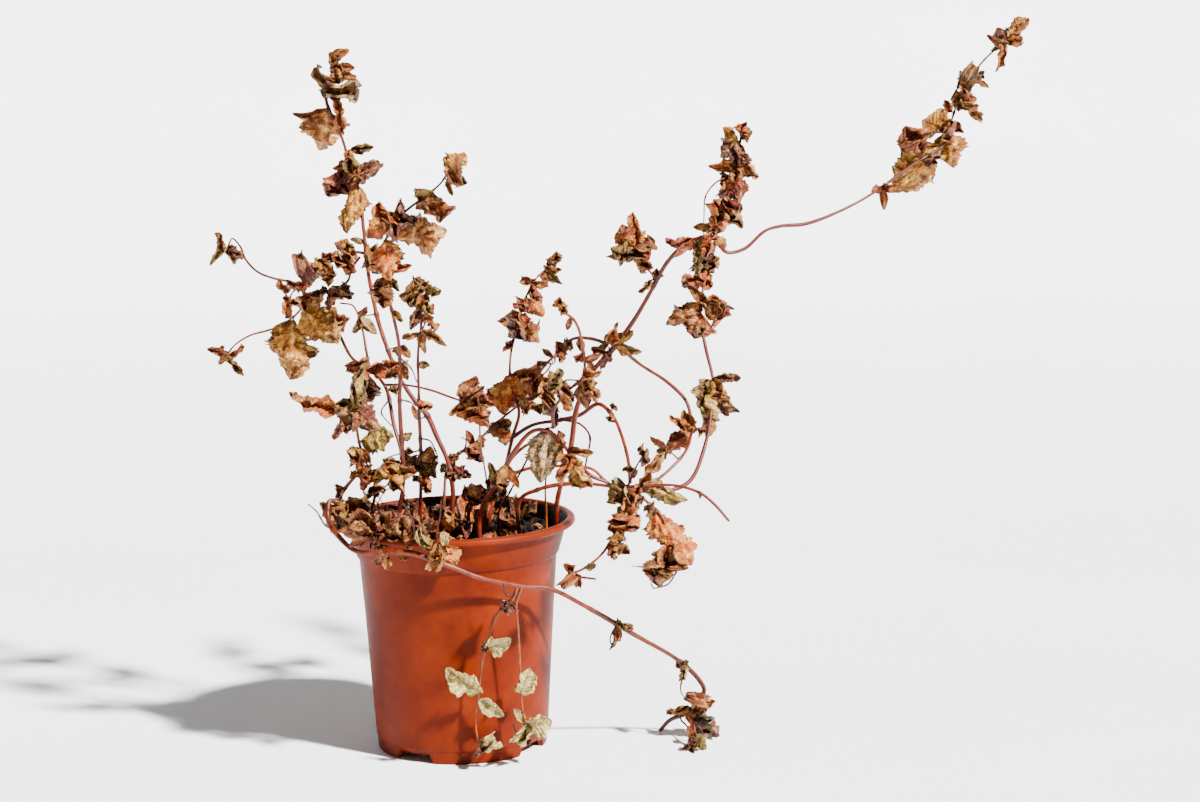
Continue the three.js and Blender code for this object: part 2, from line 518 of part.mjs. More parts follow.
// The pot's wall in section, from its raised floor out round the foot and the rolled lip and back inside
function potProfile(swell) {
  const outside = [
    [0, FLOOR_HEIGHT - 2 - swell],
    [FOOT_RADIUS - 3.2, FLOOR_HEIGHT - 2 - swell],
    [FOOT_RADIUS - 2.6 - swell, 0],
    [FOOT_RADIUS + swell, 0],
    [FOOT_RADIUS + swell, FOOT_HEIGHT - 0.6],
    [BODY_FOOT_RADIUS + swell, FOOT_HEIGHT],
    [BODY_TOP_RADIUS + swell, POT_HEIGHT - COLLAR_HEIGHT],
    [COLLAR_FOOT_RADIUS + swell, POT_HEIGHT - COLLAR_HEIGHT + 1],
    [COLLAR_TOP_RADIUS + swell, POT_HEIGHT - 5],
    [RIM_RADIUS - 1.2 + swell, POT_HEIGHT - 4.2 - swell],
    [RIM_RADIUS + swell, POT_HEIGHT - 2.4],
    [RIM_RADIUS - 2.6, POT_HEIGHT + swell],
    [RIM_RADIUS - 5, POT_HEIGHT - 1 + swell],
  ];
  const inside = [
    [COLLAR_TOP_RADIUS - WALL - swell, POT_HEIGHT - 5.5],
    [COLLAR_FOOT_RADIUS - WALL - swell, POT_HEIGHT - COLLAR_HEIGHT + 1],
    [BODY_TOP_RADIUS - WALL - swell, POT_HEIGHT - COLLAR_HEIGHT - 1],
    [BODY_FOOT_RADIUS - WALL - swell, FLOOR_HEIGHT + 1],
    [0, FLOOR_HEIGHT],
  ];
  return [...outside, ...inside].map(([radius, height]) => new THREE.Vector2(radius, height));
}

// A turned shape standing on +Z
function turnedSolid(profile, sides) {
  const turned = new THREE.LatheGeometry(profile, sides);
  turned.rotateX(Math.PI / 2);
  return bentSolid(turned, () => {});
}

// The pot with its drainage notches cut through the foot and a round hole behind each
function potSolid() {
  let pot = turnedSolid(potProfile(0), POT_SIDES);
  for (const angle of NOTCH_ANGLES) {
    const notch = new THREE.BoxGeometry(NOTCH_WIDTH, 16, NOTCH_HEIGHT * 2);
    const slope = notch.attributes.position;
    for (let i = 0; i < slope.count; i += 1) {
      slope.setX(i, slope.getX(i) * (slope.getZ(i) > 0 ? 0.8 : 1));
    }
    notch.translate(0, -FOOT_RADIUS, 0);
    notch.rotateZ(radians(angle));
    pot = pot.subtract(bentSolid(notch, () => {}));
    const hole = new THREE.CylinderGeometry(5, 5, 12, 12);
    hole.rotateX(Math.PI / 2);
    hole.translate(0, 12 - FOOT_RADIUS, FLOOR_HEIGHT);
    hole.rotateZ(radians(angle));
    pot = pot.subtract(bentSolid(hole, () => {}));
  }
  return pot;
}

// Lumps on the soil's surface
function soilLump(x, y) {
  return SOIL_LUMPS * Math.sin(x * 0.16 + 1) * Math.cos(y * 0.19) + 0.8 * Math.sin(x * 0.41 + y * 0.33);
}

// The root ball, which fills the pot to its collar and has a crumbly, uneven top
function soilSolid(swell) {
  const inset = WALL + GAP;
  const profile = [
    [0, FLOOR_HEIGHT + GAP],
    [BODY_FOOT_RADIUS - inset - 1.2, FLOOR_HEIGHT + GAP],
    [BODY_FOOT_RADIUS - inset, FLOOR_HEIGHT + 2],
    [BODY_TOP_RADIUS - inset - 0.4, POT_HEIGHT - COLLAR_HEIGHT - 1.2],
    [COLLAR_FOOT_RADIUS - inset - 0.4, POT_HEIGHT - COLLAR_HEIGHT + 1.2],
    [COLLAR_TOP_RADIUS - inset - 2.6, SOIL_TOP - 1],
    [44, SOIL_TOP],
    [24, SOIL_TOP],
    [0, SOIL_TOP],
  ];
  const turned = new THREE.LatheGeometry(profile.map(([r, z]) => new THREE.Vector2(r, z)), SOIL_SIDES);
  turned.rotateX(Math.PI / 2);
  return bentSolid(turned, (point) => {
    const lumpy = point.z > SOIL_TOP - 0.5 ? 1 : 0;
    point.z += lumpy * (soilLump(point.x, point.y) + swell);
  });
}

function largestBody(solid) {
  const bodies = solid.decompose();
  return bodies.reduce((best, body) => (body.volume() > best.volume() ? body : best));
}

function boxesMeet(first, second) {
  const a = first.boundingBox();
  const b = second.boundingBox();
  return [0, 1, 2].every((axis) => a.min[axis] <= b.max[axis] && b.min[axis] <= a.max[axis]);
}

// A piece's exact solid, cut back from the swollen solids of the pieces placed before it
function place(name, solid, swollen, colour, roughness) {
  let kept = solid;
  for (const earlier of placed) {
    if (boxesMeet(kept, earlier.swollen)) {
      kept = kept.subtract(earlier.swollen);
    }
  }
  kept = largestBody(kept);
  placed.push({ name, swollen: swollen.add(solid) });
  const mesh = kept.getMesh();
  const geometry = new THREE.BufferGeometry();
  geometry.setAttribute("position", new THREE.BufferAttribute(new Float32Array(mesh.vertProperties), 3));
  geometry.setIndex(new THREE.BufferAttribute(new Uint32Array(mesh.triVerts), 1));
  geometry.computeVertexNormals();
  const material = new THREE.MeshStandardMaterial({ color: colour, roughness, metalness: 0 });
  const piece = new THREE.Mesh(geometry, material);
  piece.name = name;
  plant.add(piece);
}

const placed = [];
const plant = new THREE.Group();
for (const branch of BRANCHES) {
  branch.curve = traceBranch(branch);
}

place("pot", potSolid(), turnedSolid(potProfile(GAP), POT_SIDES), COLOURS.pot, 0.42);
place("soil", soilSolid(0), soilSolid(GAP), COLOURS.soil, 0.95);

// Each stem is one solid with the smaller twigs and leaves that grow from it
const stemNodes = [...new Set(BRANCHES.map((branch) => branch.node))];
stemNodes.forEach((node, order) => {
  const grown = (swell) => {
    const parts = BRANCHES.filter((branch) => branch.node === node).map((branch) => stemSolid(branch, swell));
    const leaves = SMALL_LEAVES[node] ?? [];
    leaves.forEach((row, i) => parts.push(leafSolid(node, row, order * 31 + i, 4, 4, swell)));
    return wasm.Manifold.union(parts);
  };
  const pale = node.startsWith("hanger") || node.includes("pale");
  place(node, grown(0), grown(LEAF_GAP), pale ? COLOURS.paleStem : COLOURS.stem, 0.6);
});

BIG_LEAVES.forEach(([name, node, ...row], order) => {
  const pale = name.startsWith("leaf_front");
  const solids = [0, LEAF_GAP].map((swell) => leafSolid(node, row, 700 + order, 7, 4, swell));
  place(name, solids[0], solids[1], pale ? COLOURS.paleLeaf : COLOURS.leaf, 0.75);
});

// The origin is the middle of the whole plant's box, on the surface that the pot stands on
const box = new THREE.Box3().setFromObject(plant);
const middle = box.getCenter(new THREE.Vector3());
plant.position.set(-middle.x, -middle.y, 0);
plant.updateMatrixWorld(true);

export default plant;
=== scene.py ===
"""A dead, dried-out mint in its plastic nursery pot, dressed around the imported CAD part.

The plant's tables follow points of one front view, which PhotoView puts in space at a depth behind the
pot's axis. Shapes are worked out in millimetres from the pot's axis at floor level, and go into the meshes in
metres.
"""

import logging
import math
from dataclasses import dataclass, field
from enum import Enum

import bpy
import numpy as np
from mathutils import Matrix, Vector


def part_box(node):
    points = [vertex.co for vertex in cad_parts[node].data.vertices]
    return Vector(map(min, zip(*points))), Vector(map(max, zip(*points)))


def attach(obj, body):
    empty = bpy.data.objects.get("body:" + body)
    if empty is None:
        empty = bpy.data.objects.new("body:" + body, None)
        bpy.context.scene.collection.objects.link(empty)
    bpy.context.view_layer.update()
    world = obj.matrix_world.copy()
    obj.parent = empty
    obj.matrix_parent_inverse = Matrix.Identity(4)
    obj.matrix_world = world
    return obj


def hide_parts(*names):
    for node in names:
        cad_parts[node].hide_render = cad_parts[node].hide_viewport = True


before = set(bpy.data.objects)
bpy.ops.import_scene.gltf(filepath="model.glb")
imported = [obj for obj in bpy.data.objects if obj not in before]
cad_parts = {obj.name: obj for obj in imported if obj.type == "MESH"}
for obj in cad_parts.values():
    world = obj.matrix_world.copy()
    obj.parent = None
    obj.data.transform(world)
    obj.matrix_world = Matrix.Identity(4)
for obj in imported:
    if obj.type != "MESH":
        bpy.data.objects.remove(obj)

log = logging.getLogger("dead_houseplant")

Array = np.ndarray
Point = tuple[float, float]
Colour = tuple[float, float, float]
Finish = bpy.types.Material
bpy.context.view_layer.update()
METRE = 0.001
SEED = 11
FULL_TURN = 2 * math.pi

# The steps and the size of the sine that fixed fractions are taken from
CHANCE_STEPS = (12.9898, 78.233)
CHANCE_SIZE = 43758.5453

# Points of a curve between two of the points that it passes, before it is cut in even steps
CURVE_POINTS = 24

# A direction that no stem runs along, from which the rings of all tubes start
RING_START = (0.03, 1.0, 0.05)

# The lowest that a stem's or a leaf's tip lies above the floor, and a leaf's lowest point, in millimetres
TIP_CLEARANCE = 1.2
BLADE_CLEARANCE = 0.4


def linear(colour: str) -> tuple[float, float, float, float]:
    """Turns an sRGB colour into a linear one.

    Args:
        colour: the colour as "#rrggbb".

    Returns:
        Red, green, blue and an alpha of 1, in linear light.
    """
    parts = [int(colour[i : i + 2], 16) / 255 for i in (1, 3, 5)]
    light = [c / 12.92 if c <= 0.04045 else ((c + 0.055) / 1.055) ** 2.4 for c in parts]
    return (light[0], light[1], light[2], 1.0)


def chance(first: float, second: float) -> float:
    """Gives a fixed fraction between 0 and 1 for a pair of numbers, so a leaf is its own but never changes.

    Args:
        first: which leaf or twig.
        second: which of its values.

    Returns:
        The part after the point of a large multiple of a sine.
    """
    wave = math.sin(first * CHANCE_STEPS[0] + second * CHANCE_STEPS[1]) * CHANCE_SIZE
    return wave - math.floor(wave)


def along(values: tuple[float, ...], share: Array) -> Array:
    """Reads evenly spaced values at shares of the way through them.

    Args:
        values: the values, at even steps from 0 to 1.
        share: where to read, from 0 to 1.

    Returns:
        The values there, on straight lines between those given.
    """
    return np.interp(share, np.linspace(0, 1, len(values)), values)


def unit(vectors: Array) -> Array:
    """Scales vectors along the last axis to a length of 1."""
    return vectors / np.maximum(np.linalg.norm(vectors, axis=-1, keepdims=True), 1e-9)


def ripple(x: Array, y: Array, seed: float, waves: int, finest: float) -> Array:
    """Adds plane sine waves in scattered directions, the finer the weaker, for crumpled and lumpy surfaces.

    Args:
        x: first coordinate.
        y: second coordinate.
        seed: which pattern.
        waves: how many waves.
        finest: the angular rate of the finest wave.

    Returns:
        A height between about -1 and 1.
    """
    total = np.zeros(np.broadcast(x, y).shape)
    for k in range(waves):
        turn = FULL_TURN * chance(seed, 31 + k)
        rate = finest * (k + 1) / waves
        phase = FULL_TURN * chance(seed, 57 + k)
        total = total + np.sin(rate * (x * math.cos(turn) + y * math.sin(turn)) + phase) / (1 + 0.5 * k)
    return total / (1 + 0.4 * waves)


@dataclass(frozen=True)
class PhotoView:
    """The front view that the tables' points are seen in, with its eye in millimetres from the pot's axis."""

    width: float = 1200
    height: float = 802
    focal: float = 2782
    eye: tuple[float, float, float] = (79.7, -1500, 428)
    pitch: float = -9.01
    roll: float = -1.04
    scale: float = 0.5485

    def axes(self) -> tuple[Array, Array, Array]:
        """Turns the view's level axes by its pitch and then its roll.

        Returns:
            Its forward, right and up directions.
        """
        pitch, roll = math.radians(self.pitch), math.radians(self.roll)
        forward = np.array([0, math.cos(pitch), math.sin(pitch)])
        level = np.array([1.0, 0, 0])
        upright = np.cross(level, forward)
        right = math.cos(roll) * level + math.sin(roll) * upright
        up = math.cos(roll) * upright - math.sin(roll) * level
        return forward, right, up

    def to_space(self, spots: Array, depth: Array) -> Array:
        """Puts points of the view at their depths: each lies where its line of sight meets that depth.

        Args:
            spots: points of the view, shape (n, 2).
            depth: millimetres behind the pot's axis, shape (n,).

        Returns:
            Points in space, shape (n, 3).
        """
        forward, right, up = self.axes()
        spots = np.asarray(spots, float).reshape(-1, 2)
        ray = forward + (spots[:, :1] - self.width / 2) / self.focal * right
        ray = ray + (self.height / 2 - spots[:, 1:]) / self.focal * up
        reach = (np.asarray(depth, float).reshape(-1, 1) - self.eye[1]) / ray[:, 1:2]
        return np.array(self.eye) + ray * reach


VIEW = PhotoView()


def smooth_curve(places: Array, step: float) -> Array:
    """Draws a centripetal Catmull-Rom curve through points and cuts it in even steps.

    Each run is a cubic whose end slopes come from the neighbouring points, spaced by the square root of their
    distances, and the ends are mirrored.

    Args:
        places: the points it passes, shape (n, 3).
        step: the length of a step in millimetres.

    Returns:
        Evenly spaced points of the curve, shape (m, 3).
    """
    ends = np.vstack([2 * places[0] - places[1], places, 2 * places[-1] - places[-2]])
    gap = np.maximum(np.linalg.norm(np.diff(ends, axis=0), axis=1) ** 0.5, 1e-4)[:, None]
    a, b, c, d = ends[:-3], ends[1:-2], ends[2:-1], ends[3:]
    g0, g1, g2 = gap[:-2], gap[1:-1], gap[2:]
    start = ((b - a) / g0 - (c - a) / (g0 + g1) + (c - b) / g1) * g1
    stop = ((c - b) / g1 - (d - b) / (g1 + g2) + (d - c) / g2) * g1
    w = np.linspace(0, 1, CURVE_POINTS, endpoint=False)[None, :, None]
    b, c, start, stop = (part[:, None, :] for part in (b, c, start, stop))
    fine = b + start * w + (3 * (c - b) - 2 * start - stop) * w**2 + (2 * (b - c) + start + stop) * w**3
    fine = np.vstack([fine.reshape(-1, 3), places[-1:]])
    walked = np.concatenate([[0], np.cumsum(np.linalg.norm(np.diff(fine, axis=0), axis=1))])
    stops = np.linspace(0, walked[-1], max(4, int(walked[-1] / step)))
    return np.stack([np.interp(stops, walked, fine[:, k]) for k in range(3)], axis=1)


@dataclass
class Patch:
    """A piece of surface: points, four-sided and three-sided faces with their UVs, and a colour a point."""

    points: Array
    quads: Array
    quad_uv: Array
    tones: Array
    tris: Array = field(default_factory=lambda: np.zeros((0, 3), int))
    tri_uv: Array = field(default_factory=lambda: np.zeros((0, 3, 2)))


def grid_faces(rows: int, columns: int, closed: bool, first: int = 0) -> tuple[Array, Array]:
    """Joins a grid of points by four-sided faces.

    Args:
        rows: points along the first parameter.
        columns: points along the second one.
        closed: whether the last column joins the first.
        first: the index of the grid's first point.

    Returns:
        The faces, shape (k, 4), and their UVs, shape (k, 4, 2), from 0 to 1 over the grid.
    """
    across = columns if closed else columns - 1
    i, j = np.meshgrid(np.arange(rows - 1), np.arange(across), indexing="ij")
    corners = [(0, 0), (0, 1), (1, 1), (1, 0)]
    faces = np.stack([(i + a) * columns + (j + b) % columns + first for a, b in corners], axis=-1)
    uv = np.stack([np.stack([(i + a) / (rows - 1), (j + b) / across], axis=-1) for a, b in corners], axis=-2)
    return faces.reshape(-1, 4), uv.reshape(-1, 4, 2)


def end_fans(rows: int, corners: int) -> Array:
    """Joins the first and the last ring of a closed grid to the two points that follow its own.

    Args:
        rows: rings of the grid.
        corners: points a ring.

    Returns:
        The triangles, shape (2 corners, 3).
    """
    here = np.arange(corners)
    after = (here + 1) % corners
    last = (rows - 1) * corners
    pole = np.full(corners, rows * corners)
    first_fan = np.stack([after, here, pole], axis=-1)
    last_fan = np.stack([last + here, last + after, pole + 1], axis=-1)
    return np.vstack([first_fan, last_fan])


def tube_patch(
    spine: Array, radius: Array, corners: int, ridge: float, tone: Array, twist: float = 0
) -> Patch:
    """Carries a ridged ring along a spine: radius times (1 + ridge cos 4 angle), turning a little as it goes.

    Args:
        spine: the middle line, shape (n, 3).
        radius: the ring's radius at each point, shape (n,).
        corners: points a ring.
        ridge: how far the four edges of a square stem stand out, as a share of the radius.
        tone: linear colours along it, shape (n, 3) or (3,).
        twist: turns of the ring from end to end.

    Returns:
        A closed patch whose UVs run along it and around it.
    """
    count = len(spine)
    ahead = unit(np.gradient(spine, axis=0))
    side = unit(np.cross(ahead, np.array(RING_START)))
    out = np.cross(ahead, side)
    angle = np.linspace(0, FULL_TURN, corners, endpoint=False)
    turn = angle[None, :] + FULL_TURN * twist * np.linspace(0, 1, count)[:, None]
    swell = radius[:, None] * (1 + ridge * np.cos(4 * angle))
    ring = np.cos(turn)[..., None] * side[:, None] + np.sin(turn)[..., None] * out[:, None]
    body = spine[:, None] + swell[..., None] * ring
    ends = np.stack([spine[0] - ahead[0] * radius[0] * 0.4, spine[-1] + ahead[-1] * radius[-1] * 0.6])
    points = np.vstack([body.reshape(-1, 3), ends])
    quads, uv = grid_faces(count, corners, True)
    j = np.arange(corners)
    cap_uv = np.stack([j / corners, (j + 1) / corners, (j + 0.5) / corners], axis=-1)
    start_uv = np.stack([np.zeros_like(cap_uv), cap_uv], axis=-1)
    end_uv = np.stack([np.ones_like(cap_uv), cap_uv], axis=-1)
    tones = np.broadcast_to(tone, (count, 3))
    tones = np.vstack([np.repeat(tones, corners, axis=0), tones[:1], tones[-1:]])
    return Patch(points, quads, uv, tones, end_fans(count, corners), np.vstack([start_uv, end_uv]))


def shell_patch(middle: Array, normal: Array, thickness: float, front: Array, back: Array) -> Patch:
    """Gives a grid of points a thickness: the same grid stood off to both sides, joined round its edges.

    Args:
        middle: the points, shape (rows, columns, 3).
        normal: the direction of the front at each of them.
        thickness: in millimetres.
        front: linear colours of the front, shape (rows, columns, 3).
        back: those of the back.

    Returns:
        A closed patch.
    """
    rows, columns, _ = middle.shape
    count = rows * columns
    faces, uv = grid_faces(rows, columns, False)
    offset = normal * thickness / 2
    points = np.vstack([(middle + offset).reshape(-1, 3), (middle - offset).reshape(-1, 3)])
    number = np.arange(count).reshape(rows, columns)
    edge = np.concatenate([number[0, :-1], number[:-1, -1], number[-1, :0:-1], number[:0:-1, 0]])
    following = np.roll(edge, -1)
    rim = np.stack([edge, edge + count, following + count, following], axis=-1)
    spot = np.stack(np.meshgrid(np.linspace(0, 1, rows), np.linspace(0, 1, columns), indexing="ij"), axis=-1)
    spot = spot.reshape(-1, 2)
    rim_uv = np.stack([spot[edge], spot[edge], spot[following], spot[following]], axis=1)
    quads = np.vstack([faces, faces[:, ::-1] + count, rim])
    quad_uv = np.vstack([uv, uv[:, ::-1], rim_uv])
    return Patch(points, quads, quad_uv, np.vstack([front.reshape(-1, 3), back.reshape(-1, 3)]))


def pot_axis() -> Array:
    """Returns where the pot's axis meets the floor, in millimetres, as the CAD part has it."""
    low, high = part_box("pot")
    return np.array([(low[0] + high[0]) / 2, (low[1] + high[1]) / 2, 0]) / METRE


AXIS = pot_axis()


def build_mesh(name: str, patches: list[Patch], finish: Finish) -> bpy.types.Object:
    """Makes one object of patches, with its place in its mesh, UVs and a "tone" colour for each point.

    Args:
        name: the object's name.
        patches: its patches, in millimetres from the pot's axis.
        finish: its material.

    Returns:
        The object, at the origin, unturned and unscaled.
    """
    starts = np.cumsum([0] + [len(patch.points) for patch in patches])
    quads = np.vstack([patch.quads + at for patch, at in zip(patches, starts)])
    tris = np.vstack([patch.tris + at for patch, at in zip(patches, starts)])
    uv_sets = [patch.quad_uv.reshape(-1, 2) for patch in patches]
    uv_sets += [patch.tri_uv.reshape(-1, 2) for patch in patches]
    corners = np.concatenate([quads.ravel(), tris.ravel()])
    points = (np.vstack([patch.points for patch in patches]) + AXIS) * METRE
    mesh = bpy.data.meshes.new(name)
    mesh.vertices.add(len(points))
    mesh.vertices.foreach_set("co", points.ravel())
    mesh.loops.add(len(corners))
    mesh.loops.foreach_set("vertex_index", corners)
    mesh.polygons.add(len(quads) + len(tris))
    loop_starts = np.concatenate([np.arange(len(quads)) * 4, len(quads) * 4 + np.arange(len(tris)) * 3])
    mesh.polygons.foreach_set("loop_start", loop_starts)
    mesh.polygons.foreach_set("loop_total", np.concatenate([np.full(len(quads), 4), np.full(len(tris), 3)]))
    mesh.polygons.foreach_set("use_smooth", np.ones(len(quads) + len(tris), bool))
    mesh.update(calc_edges=True)
    layer = mesh.uv_layers.new(name="UVMap")
    layer.data.foreach_set("uv", np.vstack(uv_sets).ravel())
    tones = np.vstack([patch.tones for patch in patches])
    attribute = mesh.attributes.new("tone", "FLOAT_COLOR", "POINT")
    attribute.data.foreach_set("color", np.hstack([tones, np.ones((len(tones), 1))]).ravel())
    mesh.validate()
    mesh.materials.append(finish)
    piece = bpy.data.objects.new(name, mesh)
    bpy.context.scene.collection.objects.link(piece)
    return piece


def settle(piece: bpy.types.Object, slot: str, *nodes: str) -> None:
    """Hands a finished piece to the frame: it rides on the body and stands for its CAD nodes.

    Args:
        piece: the finished object.
        slot: not used.
        nodes: the CAD nodes that it replaces.
    """
    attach(piece, "root")
    if nodes:
        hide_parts(*nodes)
    log.info("%s: %d faces", piece.name, len(piece.data.polygons))


# Node kinds in common use, the sockets of a colour mix, and the settings of one that multiplies
MATH = "ShaderNodeMath"
MIX = "ShaderNodeMix"
NOISE = "ShaderNodeTexNoise"
RAMP = "ShaderNodeValToRGB"
VORONOI = "ShaderNodeTexVoronoi"
MIX_FACTOR, MIX_LOWER, MIX_UPPER, MIX_COLOUR = 0, 6, 7, 2
MULTIPLIED = {"data_type": "RGBA", "blend_type": "MULTIPLY", MIX_FACTOR: 1.0}


def node(
    tree: bpy.types.NodeTree, kind: str, settings: dict | None = None, links: dict | None = None
) -> bpy.types.Node:
    """Adds a shader node with its settings and links.

    Args:
        tree: the material's node tree.
        kind: the node's type name.
        settings: attributes by name, input values by index or name, or a ramp's "stops" as place and sRGB.
        links: what its inputs read, by index or name: an output, or a node whose first output is meant.

    Returns:
        The node.
    """
    made = tree.nodes.new(kind)
    for key, value in (settings or {}).items():
        if key == "stops":
            for place, _ in value[1:-1]:
                made.color_ramp.elements.new(place)
            for element, (place, colour) in zip(made.color_ramp.elements, value):
                element.position = place
                element.color = linear(colour)
        elif isinstance(key, str) and hasattr(made, key):
            setattr(made, key, value)
        else:
            made.inputs[key].default_value = value
    for key, source in (links or {}).items():
        output = source.outputs[0] if isinstance(source, bpy.types.Node) else source
        tree.links.new(output, made.inputs[key])
    return made


def fresh(name: str, **sockets: object) -> tuple[Finish, bpy.types.NodeTree, bpy.types.Node]:
    """Starts a material with only its shader.

    Args:
        name: the material's name.
        sockets: values of the shader's inputs, with _ for a space.

    Returns:
        The material, its node tree and its Principled shader.
    """
    material = bpy.data.materials.new(name)
    material.use_nodes = True
    shader = material.node_tree.nodes["Principled BSDF"]
    for key, value in sockets.items():
        shader.inputs[key.replace("_", " ")].default_value = value
    return material, material.node_tree, shader


@dataclass(frozen=True)
class MouldedPolypropylene:
    """Thin moulded polypropylene: satin, with soft highlights, a faint dusty bloom and splashes low down.

    Its tone shifts in patches about 25 mm across, and scuffs of about 5 mm carry dust and break the
    highlight.
    """

    name: str = "moulded_polypropylene"
    base: str = "#6a1e00"
    shade: str = "#4a0e00"
    dust: str = "#602002"
    roughness: float = 0.5
    patch_mm: float = 25
    scuff_mm: float = 5
    bloom_from: float = 0.55
    bloom_gain: float = 1.5
    scuff_roughness: float = 0.28

    def build(self) -> Finish:
        """Builds the plastic: two shades in patches, dust over them, and scuffs in its roughness and bump.

        Returns:
            The material.
        """
        material, tree, shader = fresh(self.name, IOR=1.49, Specular_IOR_Level=0.08)
        place = node(tree, "ShaderNodeTexCoord").outputs["Object"]
        coarse = {"Scale": 1 / METRE / self.patch_mm, "Detail": 5, "Roughness": 0.6}
        patches = node(tree, NOISE, coarse, {0: place})
        fine = {"Scale": 1 / METRE / self.scuff_mm, "Detail": 6, "Roughness": 0.75}
        scuffs = node(tree, NOISE, fine, {0: place})
        plain = node(tree, RAMP, {"stops": [(0.3, self.shade), (0.7, self.base)]}, {0: patches})
        # The bloom: a faint dust that dulls the plastic where the scuffs are highest
        above = node(tree, MATH, {"operation": "SUBTRACT", 1: self.bloom_from}, {0: scuffs})
        bloom = node(tree, MATH, {"operation": "MULTIPLY", "use_clamp": True, 1: self.bloom_gain}, {0: above})
        dust = {"data_type": "RGBA", MIX_UPPER: linear(self.dust)}
        dusty = node(tree, MIX, dust, {MIX_FACTOR: bloom, MIX_LOWER: plain})
        tone = node(tree, "ShaderNodeAttribute", {"attribute_name": "tone"})
        colour = node(tree, MIX, MULTIPLIED, {MIX_LOWER: dusty.outputs[MIX_COLOUR], MIX_UPPER: tone})
        tree.links.new(colour.outputs[MIX_COLOUR], shader.inputs["Base Color"])
        least = self.roughness - 0.12
        spread = {"operation": "MULTIPLY_ADD", 1: self.scuff_roughness, 2: least}
        rough = node(tree, MATH, spread, {0: scuffs})
        tree.links.new(rough.outputs[0], shader.inputs["Roughness"])
        bump = node(tree, "ShaderNodeBump", {"Strength": 0.2, "Distance": 0.0003}, {"Height": scuffs})
        tree.links.new(bump.outputs[0], shader.inputs["Normal"])
        return material


@dataclass(frozen=True)
class PeatCompost:
    """Dried peat compost: near-black brown crumbs with rusty fibres, dead matt.

    Crumbs are about 2 mm and show as a broken surface, with a few paler grains in it.
    """

    name: str = "peat_compost"
    dark: str = "#090504"
    brown: str = "#1a0d08"
    grain: str = "#5a4030"
    crumb_mm: float = 2.2

    def build(self) -> Finish:
        """Builds the compost: dark to rusty noise with pale grains, and crumbs as bump.

        Returns:
            The material.
        """
        material, tree, shader = fresh(self.name, Roughness=0.95, Specular_IOR_Level=0.25)
        place = node(tree, "ShaderNodeTexCoord").outputs["Object"]
        crumbs = node(tree, VORONOI, {"Scale": 1 / METRE / self.crumb_mm}, {0: place})
        fine = {"Scale": 0.4 / METRE / self.crumb_mm, "Detail": 8, "Roughness": 0.7}
        noise = node(tree, NOISE, fine, {0: place})
        stops = [(0.38, self.dark), (0.62, self.brown), (0.8, self.grain)]
        plain = node(tree, RAMP, {"stops": stops}, {0: noise})
        tone = node(tree, "ShaderNodeAttribute", {"attribute_name": "tone"})
        colour = node(tree, MIX, MULTIPLIED, {MIX_LOWER: plain, MIX_UPPER: tone})
        tree.links.new(colour.outputs[MIX_COLOUR], shader.inputs["Base Color"])
        height = node(tree, MATH, {"operation": "MULTIPLY_ADD", 1: -0.6}, {0: crumbs, 2: noise})
        bump = node(tree, "ShaderNodeBump", {"Strength": 0.9, "Distance": 0.0012}, {"Height": height})
        tree.links.new(bump.outputs[0], shader.inputs["Normal"])
        return material


@dataclass(frozen=True)
class DriedHerbStem:
    """A dried square herb stem: fibrous and a little glossy on its ridges, streaked along its length.

    Streaks are about 0.4 mm wide and 8 mm long, so the stem reads as shrunken fibre and not as painted rod.
    """

    name: str = "dried_herb_stem"
    roughness: float = 0.45
    blotch_mm: float = 3

    def build(self) -> Finish:
        """Builds the stem: its own tone under blotches and long streaks, with fibres as bump.

        Returns:
            The material.
        """
        material, tree, shader = fresh(self.name, Roughness=self.roughness, Specular_IOR_Level=0.3)
        tone = node(tree, "ShaderNodeAttribute", {"attribute_name": "tone"})
        place = node(tree, "ShaderNodeTexCoord")
        from_place = {0: place.outputs["Object"]}
        coarse = {"Scale": 1 / METRE / self.blotch_mm, "Detail": 5, "Roughness": 0.65}
        blotches = node(tree, NOISE, coarse, from_place)
        stretch = node(tree, "ShaderNodeMapping", {"Scale": (30, 7, 1)}, {0: place.outputs["UV"]})
        fibres = node(tree, NOISE, {"Scale": 1.0, "Detail": 4, "Roughness": 0.7}, {0: stretch})
        stops = [(0.3, "#8c7f7a"), (0.55, "#e6e0dc"), (0.75, "#ffffff")]
        lights = node(tree, RAMP, {"stops": stops}, {0: blotches})
        streaks = node(tree, RAMP, {"stops": [(0.35, "#a0908a"), (0.6, "#ffffff")]}, {0: fibres})
        colour = node(tree, MIX, MULTIPLIED, {MIX_LOWER: tone, MIX_UPPER: lights})
        layers = {MIX_LOWER: colour.outputs[MIX_COLOUR], MIX_UPPER: streaks}
        colour = node(tree, MIX, MULTIPLIED | {MIX_FACTOR: 0.8}, layers)
        tree.links.new(colour.outputs[MIX_COLOUR], shader.inputs["Base Color"])
        bump = node(tree, "ShaderNodeBump", {"Strength": 0.5, "Distance": 0.0003}, {"Height": fibres})
        tree.links.new(bump.outputs[0], shader.inputs["Normal"])
        return material


